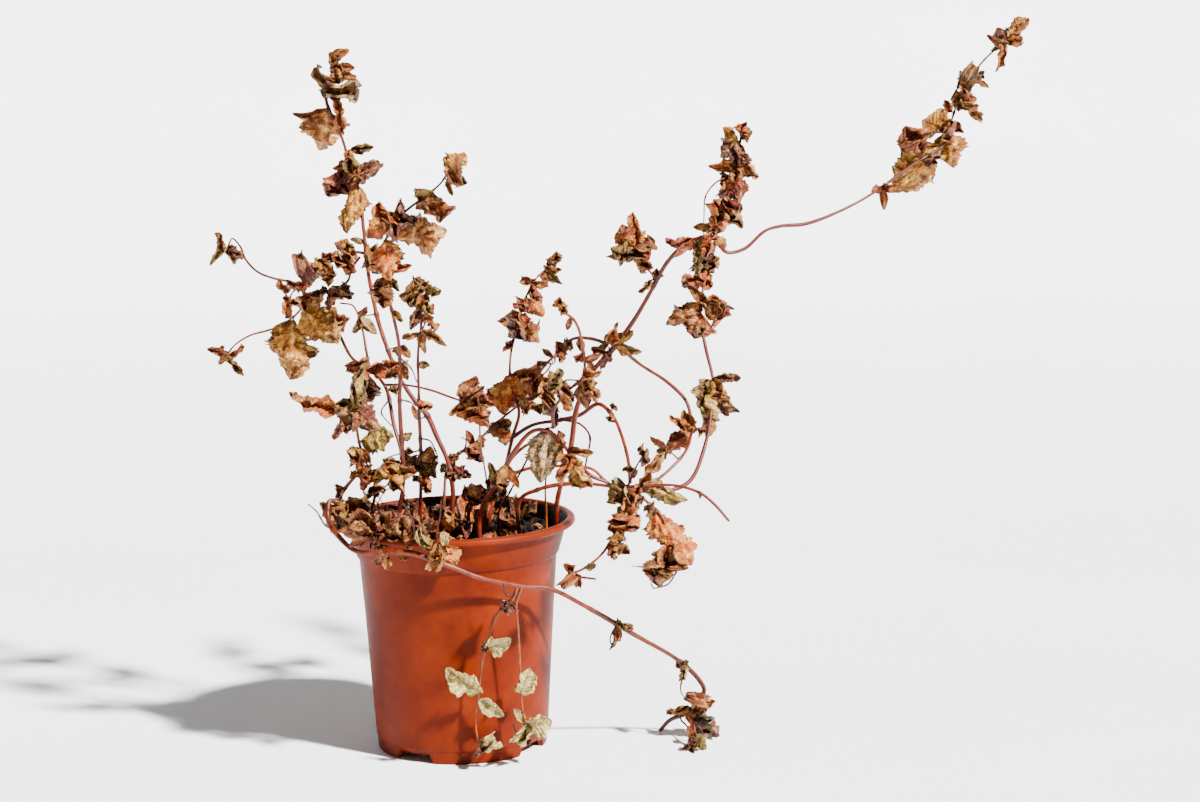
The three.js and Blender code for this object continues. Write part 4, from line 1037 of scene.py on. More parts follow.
# Leaves too small for the solids, by the node that they grow from
TINY_LEAVES = leaf_table({
    "stem_tall_left": [
        (364, 243, 350, 239, 6, FLAT), (361, 317, 377, 333, 8, FLAT, CREAM), (419, 420, 412, 405, 6, FLAT),
        (447, 470, 455, 482, 9, CUP),
    ],
    "branch_left_high": [
        (280, 279, 288, 293, 8, PLEAT), (312, 276, 304, 288, 8, FLAT), (242, 250, 231, 254, 8, ROLL),
        (228, 248, 242, 255, 9, CUP), (289, 280, 294, 290, 8, CUP), (301, 282, 303, 291, 9, HOOK),
        (320, 270, 309, 285, 8, ROLL, DARK), (332, 261, 322, 252, 8, CUP),
    ],
    "branch_left_low": [
        (310, 300, 296, 297, 8, ROLL), (284, 322, 281, 342, 9, HOOK, DARK),
        (229, 352, 219, 362, 6, CUP, DARK),
    ],
    "stem_left_bent": [
        (447, 180, 453, 196, 6, FLAT), (399, 387, 388, 390, 9, CUP), (392, 310, 402, 322, 7, PLEAT),
        (403, 440, 412, 432, 7, FLAT),
    ],
    "stem_straight": [
        (419, 318, 434, 318, 8, FLAT), (419, 364, 430, 366, 7, FLAT), (420, 296, 430, 302, 9, CUP),
        (432, 320, 436, 331, 9, DOME), (420, 334, 402, 339, 5, PLEAT), (421, 400, 432, 408, 7, ROLL),
    ],
    "stem_left_low": [(363, 463, 367, 474, 6, FLAT), (345, 488, 335, 497, 9, CUP)],
    "stem_left_short": [(374, 485, 368, 499, 9, CUP), (375, 486, 384, 494, 9, ROLL)],
    "branch_middle_level": [(468, 403, 492, 411, 10, ROLL, TAN)],
    "stem_middle_slant": [
        (473, 444, 466, 430, 8, FLAT), (455, 476, 471, 478, 7, ROLL, DARK), (528, 398, 541, 415, 9, CUP),
        (545, 385, 555, 428, 7, ROLL),
    ],
    "stem_front_arch": [
        (494, 488, 507, 480, 9, ROLL), (487, 500, 500, 487, 10, CUP), (563, 446, 558, 459, 6, FLAT),
        (570, 458, 592, 488, 9, ROLL, GOLD),
    ],
    "stem_back_arch": [(490, 492, 461, 496, 18, CUP, TAN), (500, 480, 507, 492, 9, DOME, DARK)],
    "stem_middle_tall": [
        (540, 274, 553, 279, 7, FLAT), (512, 340, 503, 352, 7, CUP), (518, 400, 526, 412, 8, ROLL),
    ],
    "branch_inner_curl": [
        (560, 385, 558, 368, 10, ROLL), (580, 385, 586, 409, 10, DOME), (583, 361, 602, 354, 7, FLAT),
        (583, 352, 576, 363, 7, CUP), (584, 372, 602, 371, 7, PLEAT), (572, 318, 567, 330, 6, FLAT),
    ],
    "stem_right_rise": [
        (592, 373, 589, 359, 7, FLAT), (642, 264, 646, 251, 8, CUP), (652, 284, 638, 292, 6, ROLL),
        (606, 345, 599, 348, 7, FLAT), (614, 345, 606, 334, 10, DOME), (656, 281, 657, 268, 8, CUP),
        (717, 236, 725, 249, 10, DOME), (629, 226, 620, 231, 9, RING),
    ],
    "runner_far_right": [
        (1010, 36, 1029, 18, 6, PLEAT, TAN), (952, 112, 944, 100, 8, CUP),
        (930, 153, 926, 166, 8, ROLL, DARK), (975, 72, 984, 79, 8, CUP),
    ],
    "stem_right_sweep": [
        (739, 144, 746, 158, 6, FLAT), (738, 202, 740, 214, 6, FLAT), (703, 326, 692, 330, 8, ROLL),
        (712, 420, 707, 438, 9, DOME), (706, 305, 735, 309, 5, PLEAT, DARK), (706, 432, 697, 428, 8, CUP),
    ],
    "branch_back_arch": [
        (552, 357, 542, 349, 6, FLAT), (580, 338, 582, 352, 8, FLAT), (545, 366, 537, 361, 7, CUP),
    ],
    "stem_over_arch": [(612, 410, 617, 406, 7, CUP), (614, 414, 613, 422, 6, ROLL)],
    "branch_low_tail": [
        (645, 452, 637, 449, 9, CUP), (642, 456, 650, 462, 9, ROLL, DARK), (645, 490, 660, 494, 6, FLAT),
        (632, 478, 638, 470, 5, FLAT), (634, 470, 622, 470, 6, PLEAT),
    ],
    "shoot_down_left": [
        (573, 574, 563, 564, 9, CUP), (625, 512, 636, 531, 16, ROLL), (586, 568, 596, 564, 7, FLAT),
    ],
    "petiole_right": [(668, 545, 680, 552, 8, CUP), (662, 556, 652, 570, 10, ROLL)],
    "stem_trailing": [
        (682, 664, 685, 680, 7, ROLL), (680, 664, 689, 661, 8, CUP), (683, 668, 676, 661, 7, FLAT),
        (700, 705, 690, 718, 12, CUP, OLIVE), (697, 712, 714, 730, 10, ROLL, GREEN),
        (696, 738, 706, 742, 9, DOME, OLIVE), (698, 742, 682, 752, 12, CUP, DARK),
        (698, 744, 707, 757, 12, DOME, OLIVE), (692, 728, 694, 738, 9, RING, TAN),
        (334, 510, 343, 516, 10, CUP), (398, 556, 409, 558, 6, FLAT),
    ],
    "stem_front_pale": [(445, 545, 441, 532, 8, FLAT), (424, 541, 432, 549, 9, CUP, ORANGE)],
    "hanger_long": [
        (502, 607, 508, 601, 8, ROLL, DARK), (487, 643, 481, 652, 7, CUP, DARK),
        (478, 740, 483, 753, 9, ROLL, DARK), (510, 600, 500, 610, 7, ROLL, DARK),
    ],
    "hanger_short": [(523, 722, 514, 709, 8, FLAT, CREAM), (524, 732, 529, 746, 9, CUP, DARK)],
})

# The colours of the stems from root to tip where they aren't the common dark red-brown
STEM_TONES = {
    "stem_tall_left": ("#651502", "#822903", "#551501"),
    "stem_left_bent": ("#551502", "#742003", "#451101"),
    "stem_straight": ("#681001", "#6e1001", "#450d01"),
    "branch_left_high": ("#641802", "#4f1501"),
    "stem_left_arm": ("#762b03", "#642003"),
    "stem_left_low": ("#873204", "#822f03"),
    "stem_middle_slant": ("#743204", "#642903"),
    "stem_front_arch": ("#782003", "#882704", "#681702"),
    "stem_right_rise": ("#742003", "#822604", "#641702"),
    "runner_far_right": ("#741e03", "#641d02", "#552002"),
    "stem_right_sweep": ("#641502", "#761d03", "#551502"),
    "branch_inner_sweep": ("#741803", "#781d03"),
    "stem_over_arch": ("#551502", "#822303", "#742003"),
    "stem_level_pink": ("#a33c07", "#ad4207"),
    "stem_low_right": ("#822904", "#933205"),
    "branch_low_tail": ("#822604", "#742003"),
    "shoot_down_left": ("#822103", "#742903"),
    "stem_thin_pale": ("#9a4d07", "#9a4d07"),
    "stem_thin_grey": ("#683506", "#592b04"),
    "stem_thin_dark": ("#2a0d01", "#361301"),
    "stem_trailing": ("#5d2001", "#7d2a01", "#852c02", "#6a2702", "#522002"),
    "stem_front_pale": ("#934205", "#823804"),
    "hanger_long": ("#823c04", "#9c4e07"),
    "hanger_short": ("#823c04", "#a35407"),
}
COMMON_STEM = ("#7d2704", "#8f3405")
TWIG_TONES = ("#5a1e02", "#3b1501")
PALE_STEM_NODES = ("hanger_long", "hanger_short", "stem_front_pale", "stem_thin_pale")
IN_FRONT_OF_POT = ("hanger_long", "hanger_short", "stem_front_pale")
PALE_LEAVES = ("leaf_front_left", "leaf_front_right", "leaf_trailing_end")

# Grid points along and across a blade, the finer the larger the leaf
BIG_GRID = (60, 33)
SMALL_GRID = (36, 19)
TINY_GRID = (26, 13)
PAIR_GRID = (24, 13)
SHED_GRID = (20, 11)

# The number of each kind's first leaf and its step from stem to stem, so that no two leaves are alike
SMALL_SEEDS = (0, 31)
TINY_SEEDS = (400, 17)
PAIR_SEEDS = (2000, 61)
COMPANION_STEP = 53
BIG_SEED = 700
SHED_SEED = 900


@dataclass
class LeafBlade:
    """A dried leaf with its stalk, worked out over u from base to tip and v across it.

    The midrib is an arc from base to tip. Each half curls away from it, and the blade opens at the base as a
    power of a sine, widest below its middle. Teeth, puckers between the veins and crumples are added to that.
    """

    base: Array
    tip: Array
    stalk: Array | None
    width: float
    curl: Curl
    seed: float
    # outer is the leaf's own colour; inner is a darker painted shade for the hollow side of its curl
    outer: Colour
    inner: Colour
    rows: int
    columns: int
    thickness: float = 0.32
    stalk_radii: tuple[float, float] = (0.52, 0.3)
    widest: float = 0.8
    teeth: int = 12
    tooth_depth: float = 0.1
    pucker: float = 0.08
    crumple: float = 0.4
    side_veins: float = 8
    vein_slant: float = 1.5
    curl_swing: float = 0.22
    wave_rate: float = 9.4
    wave_size: float = 0.3
    flutter_rate: float = 23
    flutter_size: float = 0.2
    rib_height: float = 0.25
    rib_width: float = 0.07
    most_turn: float = 50
    crease_gain: float = 2.6
    crease_power: float = 0.7
    blotch: float = 0.42
    # Painted highlight on the crumpled ridges: the power that pales the colour, and the tint it takes
    highlight_power: float = 0.28
    highlight_tint: Colour = (1.0, 0.9, 0.66)
    stalk_tint: Colour = (0.55, 0.42, 0.36)

    def axes(self) -> tuple[Array, Array, Array, float]:
        """Works out which way the leaf faces: towards the front view, turned by up to 25 degrees.

        Returns:
            The directions along it, out of it and across it, and its length.
        """
        axis = self.tip - self.base
        chord = float(np.linalg.norm(axis))
        axis = axis / chord
        facing = np.array([0, -1.0, 0]) if abs(axis[1]) < 0.95 else np.array([0, 0, 1.0])
        facing = unit(facing - axis * np.dot(facing, axis))
        turn = math.radians((chance(self.seed, 2) - 0.5) * self.most_turn)
        normal = math.cos(turn) * facing + math.sin(turn) * np.cross(axis, facing)
        return axis, normal, np.cross(normal, axis), chord

    def half_width(self, u: Array) -> Array:
        """Gives the flat half width: the visible one undone by how far the curled half reaches.

        Args:
            u: from base to tip.

        Returns:
            Millimetres, of the shape of u.
        """
        fold, curl = (abs(math.radians(a)) for a in self.curl.value[:2])
        v = np.linspace(0.1, 1, 10)
        reach = float(np.max((np.sin(fold + curl * v) - math.sin(fold)) / curl))
        spread = np.sin(np.pi * np.clip(u, 0, 1) ** self.widest) ** 0.68
        torn = 1.14 + 0.07 * ripple(8 * u, 0 * u, self.seed + 2, 4, 2.5)
        return np.maximum(self.width / 2 / reach * spread * torn, 0.12)

    def surface(self, u: Array, v: Array) -> Array:
        """Works out the blade's middle surface.

        Args:
            u: from 0 at the base to 1 at the tip, shape (rows, 1).
            v: from -1 to 1 across the blade, shape (1, columns).

        Returns:
            Points, shape (rows, columns, 3).
        """
        fold, curl, bend, twist = (math.radians(a) for a in self.curl.value)
        twist *= -1 if chance(self.seed, 3) < 0.5 else 1
        axis, normal, across, chord = self.axes()
        arc = chord / (2 * math.sin(bend / 2))
        half = self.half_width(u)
        turned = bend * (u - 0.5)
        forward = arc * (np.sin(turned) + math.sin(bend / 2))
        rise = arc * (np.cos(turned) - math.cos(bend / 2))
        size = np.abs(v)
        sign = np.sign(v)
        loose = curl * (1 + self.curl_swing * np.sin(6 * u + 6.3 * chance(self.seed, 6) + 1.3 * sign))
        angle = fold + loose * size
        tooth = 1 - self.tooth_depth * np.mod(u * self.teeth + 0.3 * sign, 1) * size**4
        half = half * tooth
        reach = half * (np.sin(angle) - math.sin(fold)) / loose
        cup = half * (math.cos(fold) - np.cos(angle)) / loose
        phase = 6.3 * chance(self.seed, 4)
        wave = np.sin(self.wave_rate * u + phase + sign) * self.wave_size * half * v**2
        flutter = np.sin(self.flutter_rate * u + 2 * phase + 2 * sign)
        wave = wave + flutter * self.flutter_size * half * size**3
        vein = self.side_veins * u - self.vein_slant * size
        pucker = -self.pucker * half * np.cos(FULL_TURN * vein) * size * (1.3 - size)
        folds = self.crumple * half * self.creases(u, v)
        rib = self.rib_height * np.exp(-((v / self.rib_width) ** 2)) * np.minimum(1, half / 2)
        lift = pucker + folds * (0.3 + 0.7 * size) + rib
        spin = (twist * (u - 0.5) * 2)[..., None]
        rib_normal = np.cos(turned)[..., None] * normal + np.sin(turned)[..., None] * axis
        local_side = np.cos(spin) * across + np.sin(spin) * rib_normal
        local_up = np.cos(spin) * rib_normal - np.sin(spin) * across
        front = np.cos(angle)[..., None] * local_up - (sign * np.sin(angle))[..., None] * local_side
        points = self.base + forward[..., None] * axis + rise[..., None] * normal
        points = points + (sign * reach)[..., None] * local_side + (cup + wave)[..., None] * local_up
        return points + lift[..., None] * front

    def creases(self, u: Array, v: Array) -> Array:
        """Gives sharp creases: 1 less 2.6 times the size of a ripple raised to 0.7, coarse and fine ones.

        Args:
            u: from base to tip.
            v: across.

        Returns:
            Heights from about -1 to 1, shape (rows, columns).
        """
        busy = float(np.clip(np.linalg.norm(self.tip - self.base) / 16, 0.9, 1.8))
        u, v = busy * u, busy * v
        coarse = np.abs(ripple(3.4 * u - 1.4 * np.abs(v), 2.8 * v, self.seed, 6, 5.0)) ** self.crease_power
        fine = np.abs(ripple(7 * u - 3 * np.abs(v), 6.5 * v, self.seed + 50, 6, 6.0)) ** self.crease_power
        return (1 - self.crease_gain * coarse + 0.5 * (1 - self.crease_gain * fine)) / 1.5

    def tones(self, u: Array, v: Array, colour: Colour, side: int) -> Array:
        """Colours one side: a painted highlight on its ridges and painted shade in its valleys, with blotches
        over that.

        Args:
            u: from base to tip.
            v: across.
            colour: the side's linear colour.
            side: 0 for the front and 1 for the back.

        Returns:
            Linear colours, shape (rows, columns, 3).
        """
        blotch = ripple(6 * u, 3 * v, self.seed + 5 * side, 4, 4.0)
        light = 1.05 + self.blotch * blotch - 1.25 * np.clip(u - 0.8, 0, 1) * chance(self.seed, 8)
        # Painted shade darkens the valleys of the creases and lightens the ridges a little; then a painted
        # highlight pales the ridges towards a light tint
        ridge = self.creases(u, v) * (1 if side == 0 else -1)
        light = light * (1 + 0.8 * np.clip(ridge, -0.9, 0.25)) * (1 - 0.35 * np.abs(v) ** 6)
        warmth = np.stack([light, np.maximum(light, 0) ** 1.12, np.maximum(light, 0) ** 1.4], axis=-1)
        pale = np.clip(1.5 * (ridge - 0.1), 0, 0.85)[..., None]
        ridge_highlight = np.array(colour) ** self.highlight_power * np.array(self.highlight_tint)
        return np.clip(np.array(colour) * warmth * (1 - pale) + ridge_highlight * pale, 0, 1)

    def patches(self) -> list[Patch]:
        """Makes the leaf, facing the way that its axes say, with no point of it in the floor.

        Returns:
            The blade, with its thickness, and its stalk where it has one.
        """
        u = np.linspace(0, 1, self.rows)[:, None]
        v = np.linspace(-1, 1, self.columns)[None, :]
        middle = self.surface(u, v)
        along_u = np.gradient(middle, axis=0)
        along_v = np.gradient(middle, axis=1)
        front = unit(np.cross(along_v, along_u))
        _, normal, _, _ = self.axes()
        centre = self.columns // 2
        if float(np.dot(front[self.rows // 2, centre], normal)) < 0:
            middle, front = middle[:, ::-1], -front[:, ::-1]
        middle[..., 2] = np.maximum(middle[..., 2], BLADE_CLEARANCE)
        # Painted shade: the hollow side of the curl takes the darker inner colour, and a dome's convex side
        # the outer one
        convex = self.curl.value[1] < 0
        colours = (self.outer, self.inner) if convex else (self.inner, self.outer)
        fore, rear = (self.tones(u, v, colour, side) for side, colour in enumerate(colours))
        blade = shell_patch(middle, front, self.thickness, fore, rear)
        if self.stalk is None:
            return [blade]
        rib = middle[: max(3, self.rows // 5), centre]
        knots = np.vstack([self.stalk, self.base * 0.6 + self.stalk * 0.4, rib[0], rib[-1]])
        spine = smooth_curve(knots, 0.8)
        radius = np.linspace(*self.stalk_radii, len(spine))
        dark = np.array(self.outer) * np.array(self.stalk_tint)
        return [blade, tube_patch(spine, radius, 6, 0.0, dark)]


@dataclass
class TracedStem:
    """A branch put in space: its points in even steps, and where along it leaves grow, from 0 to 1."""

    branch: Branch
    spine: Array
    knots: list[float] = field(default_factory=list)


@dataclass
class MintPlant:
    """The dead mint: its stems and twigs, small leaves fused to them, and big leaves of their own."""

    soil_top: float = 117.5
    root_depth: float = 6
    step: float = 0.9
    stem_corners: int = 12
    ridge: float = 0.1
    # Painted shade: the inner colour of a curled brown leaf, which darkens its hollow side
    curl_hollow_shade: Colour = (0.62, 0.34, 0.18)
    long_leaf: float = 14
    long_crumple: float = 0.52
    bleached_crumple: float = 0.16
    bleached_pucker: float = 0.05
    companions: int = 2
    slimness: float = 0.6
    knot_length: float = 1.3
    knot_swell: float = 0.3
    knot_shade: float = 0.5
    wobble: float = 0.09
    sway: float = 0.22
    twist_length: float = 260
    traced: list[TracedStem] = field(default_factory=list)

    def nearest(self, node_name: str, spot: Point) -> tuple[TracedStem, int]:
        """Finds the point of a node's stems nearest to a point of the front view.

        Args:
            node_name: the stem's CAD node.
            spot: the point of the view.

        Returns:
            The stem, and the index of its point.
        """
        stems = [stem for stem in self.traced if stem.branch.node == node_name]
        gaps = []
        for stem in stems:
            seen = VIEW.to_space(np.tile(spot, (len(stem.spine), 1)), stem.spine[:, 1])
            gaps.append(np.linalg.norm(seen - stem.spine, axis=1))
        best = min(range(len(stems)), key=lambda k: float(gaps[k].min()))
        return stems[best], int(np.argmin(gaps[best]))

    def trace(self, branch: Branch, order: int) -> None:
        """Puts a branch in space and keeps it.

        Args:
            branch: the branch.
            order: its number, for its drift in depth.
        """
        route = np.array(branch.route, float)
        walked = np.concatenate([[0], np.cumsum(np.linalg.norm(np.diff(route, axis=0), axis=1))])
        joined = any(stem.branch.node == branch.node for stem in self.traced)
        share = walked / walked[-1]
        if branch.depth:
            depth = along(branch.depth, share)
        else:
            stem, at = self.nearest(branch.node, branch.route[0])
            drift = (chance(order, 12) - 0.5) * 0.5 * walked[-1] * VIEW.scale
            drift = -abs(drift) if branch.node in IN_FRONT_OF_POT else drift
            depth = stem.spine[at, 1] + drift * share
        places = VIEW.to_space(route, depth)
        if joined:
            stem, at = self.nearest(branch.node, branch.route[0])
            places[0] = stem.spine[at]
            stem.knots.append(at / len(stem.spine))
        if branch.rooted:
            root = places[:1].copy()
            root[0, 2] = self.soil_top - self.root_depth
            places = np.vstack([root, places])
        places[:, 2] = np.maximum(places[:, 2], TIP_CLEARANCE)
        self.traced.append(TracedStem(branch, smooth_curve(places, self.step)))

    def blade(
        self, node_name: str, leaf: Leaf, seed: float, grid: tuple[int, int], pale: bool = False
    ) -> LeafBlade:
        """Sets up a leaf where its row puts it.

        Args:
            node_name: the stem's CAD node.
            leaf: the row.
            seed: its own number.
            grid: grid points along and across it.
            pale: whether it is one of the pale leaves.

        Returns:
            The leaf, ready for its patches.
        """
        stem, at = self.nearest(node_name, (leaf.base_x, leaf.base_y))
        stem.knots.append(at / len(stem.spine))
        stalk = stem.spine[at]
        length = math.hypot(leaf.tip_x - leaf.base_x, leaf.tip_y - leaf.base_y) * VIEW.scale
        lean = (chance(seed, 1) - 0.5) * 0.9 * length
        lean = -abs(lean) if node_name in IN_FRONT_OF_POT else lean
        spots = [(leaf.base_x, leaf.base_y), (leaf.tip_x, leaf.tip_y)]
        base, tip = VIEW.to_space(np.array(spots), np.array([stalk[1] + lean * 0.1, stalk[1] + lean]))
        tip[2] = max(tip[2], TIP_CLEARANCE)
        tone = leaf.tone or (Tone.CREAM if node_name in IN_FRONT_OF_POT else self.tone_by_chance(seed))
        outer = np.array(linear(tone.value)[:3])
        # Painted shade on the hollow side of the curl: darker for brown leaves, a little for pale ones, half
        # as much on flat and pleated ones
        inner = outer * 0.9 if pale or tone is Tone.CREAM else outer * np.array(self.curl_hollow_shade)
        if leaf.curl in (Curl.FLAT, Curl.PLEAT):
            inner = (inner + outer) / 2
        width = leaf.width * VIEW.scale
        blade = LeafBlade(base, tip, stalk, width, leaf.curl, seed, tuple(outer), tuple(inner), *grid)
        if tone is Tone.CREAM:
            blade.crumple = self.bleached_crumple
            blade.pucker = self.bleached_pucker
        elif length > self.long_leaf:
            blade.crumple = self.long_crumple
        return blade

    @staticmethod
    def companion(row: Leaf, seed: float) -> Leaf:
        """Sets a smaller leaf at a leaf's base, turned away from it, as a mint's leaves grow in close pairs.

        Args:
            row: the leaf.
            seed: the companion's number.

        Returns:
            Its row.
        """
        length = math.hypot(row.tip_x - row.base_x, row.tip_y - row.base_y)
        heading = math.atan2(row.tip_y - row.base_y, row.tip_x - row.base_x)
        heading += (0.5 + 1.5 * chance(seed, 31)) * (1 if chance(seed, 32) < 0.5 else -1)
        reach = max(6.0, length * (0.45 + 0.4 * chance(seed, 33)))
        width = max(6.5, row.width * (0.6 + 0.4 * chance(seed, 34)))
        curls = (CUP, DOME, ROLL, HOOK, PLEAT)
        tip = (row.base_x + reach * math.cos(heading), row.base_y + reach * math.sin(heading))
        return Leaf(row.base_x, row.base_y, *tip, width, curls[int(chance(seed, 35) * len(curls))])

    @staticmethod
    def tone_by_chance(seed: float) -> Tone:
        """Picks a leaf's tone where its row gives none: mostly orange and gold, some dark or olive."""
        tones = [ORANGE, GOLD, TAN, BROWN, ORANGE, DARK, GOLD, OLIVE, RED]
        return tones[int(chance(seed, 21) * len(tones))]

    def skin(self, stem: TracedStem, order: int) -> Patch:
        """Gives a stem its skin: a ridged tube that thins to its tip and swells and darkens at its knots.

        Args:
            stem: the traced stem.
            order: its number.

        Returns:
            Its patch.
        """
        share = np.linspace(0, 1, len(stem.spine))
        length = len(stem.spine) * self.step
        radius = along(stem.branch.thick, share) * self.slimness * VIEW.scale
        knots = np.array(stem.knots or [0.5])[None, :]
        near = np.exp(-(((share[:, None] - knots) * length / self.knot_length) ** 2)).max(axis=1)
        wobble = ripple(share * length * 0.35, share * 0, order, 5, 3.0)
        radius = radius * (1 + self.knot_swell * near + self.wobble * wobble)
        tones = STEM_TONES.get(stem.branch.node, COMMON_STEM)
        if not stem.branch.depth:
            tones = TWIG_TONES
        colours = np.array([linear(tone)[:3] for tone in tones])
        colour = np.stack([along(tuple(colours[:, k]), share) for k in range(3)], axis=-1)
        streaks = 1 + 0.18 * ripple(share * length * 0.15, share * 0, order + 9, 4, 2.0)
        colour = colour * ((1 - self.knot_shade * near) * streaks)[:, None]
        spine = stem.spine.copy()
        spine[:, 0] += self.sway * ripple(share * length * 0.12, share * 0, order + 3, 4, 2.5)
        return tube_patch(spine, radius, self.stem_corners, self.ridge, colour, length / self.twist_length)

    def sprout(
        self, name: str, rows: list[Leaf], seeds: tuple[int, int], order: int, grid: tuple[int, int]
    ) -> list[LeafBlade]:
        """Sets up a stem's leaves of one kind.

        Args:
            name: the stem's CAD node.
            rows: the leaves' rows.
            seeds: the first leaf's number and the step from stem to stem.
            order: the stem's number.
            grid: grid points along and across each.

        Returns:
            The leaves.
        """
        first, step = seeds
        return [self.blade(name, row, first + order * step + i, grid) for i, row in enumerate(rows)]

    def foliage(self, name: str, order: int) -> list[Patch]:
        """Makes a stem's small leaves, the tiny ones and, away from the pot's front, companions in pairs.

        Args:
            name: the stem's CAD node.
            order: the stem's number.

        Returns:
            Their patches.
        """
        rows = SMALL_LEAVES.get(name, [])
        blades = self.sprout(name, rows, SMALL_SEEDS, order, SMALL_GRID)
        blades += self.sprout(name, TINY_LEAVES.get(name, []), TINY_SEEDS, order, TINY_GRID)
        if name not in IN_FRONT_OF_POT:
            turns = range(self.companions)
            first = order * COMPANION_STEP
            pairs = [self.companion(row, first + i + 0.5 * k) for i, row in enumerate(rows) for k in turns]
            blades += self.sprout(name, pairs, PAIR_SEEDS, order, PAIR_GRID)
        return [patch for blade in blades for patch in blade.patches()]

    def build(self, bark: Finish, leaf: Finish, pale_leaf: Finish) -> None:
        """Makes every stem, its leaves and the big leaves.

        Args:
            bark: the stems' finish.
            leaf: the brown leaves' finish.
            pale_leaf: the pale leaves' finish.
        """
        for order, branch in enumerate(BRANCHES + FINE_TWIGS):
            self.trace(branch, order)
        nodes = list(dict.fromkeys(branch.node for branch in BRANCHES))
        grown = {name: self.foliage(name, order) for order, name in enumerate(nodes)}
        big = {
            name: self.blade(host, row, BIG_SEED + order, BIG_GRID, name in PALE_LEAVES)
            for order, (name, (host, row)) in enumerate(BIG_LEAVES.items())
        }
        for order, name in enumerate(nodes):
            skins = [self.skin(stem, order) for stem in self.traced if stem.branch.node == name]
            slot = "pale_stem" if name in PALE_STEM_NODES else "stem"
            settle(build_mesh(f"{name}_skin", skins, bark), slot, name)
            pale = name in IN_FRONT_OF_POT
            if grown[name]:
                piece = build_mesh(f"{name}_leaves", grown[name], pale_leaf if pale else leaf)
                settle(piece, "pale_leaf" if pale else "leaf")
        for name, blade in big.items():
            pale = name in PALE_LEAVES
            piece = build_mesh(f"{name}_blade", blade.patches(), pale_leaf if pale else leaf)
            settle(piece, "pale_leaf" if pale else "leaf", name)


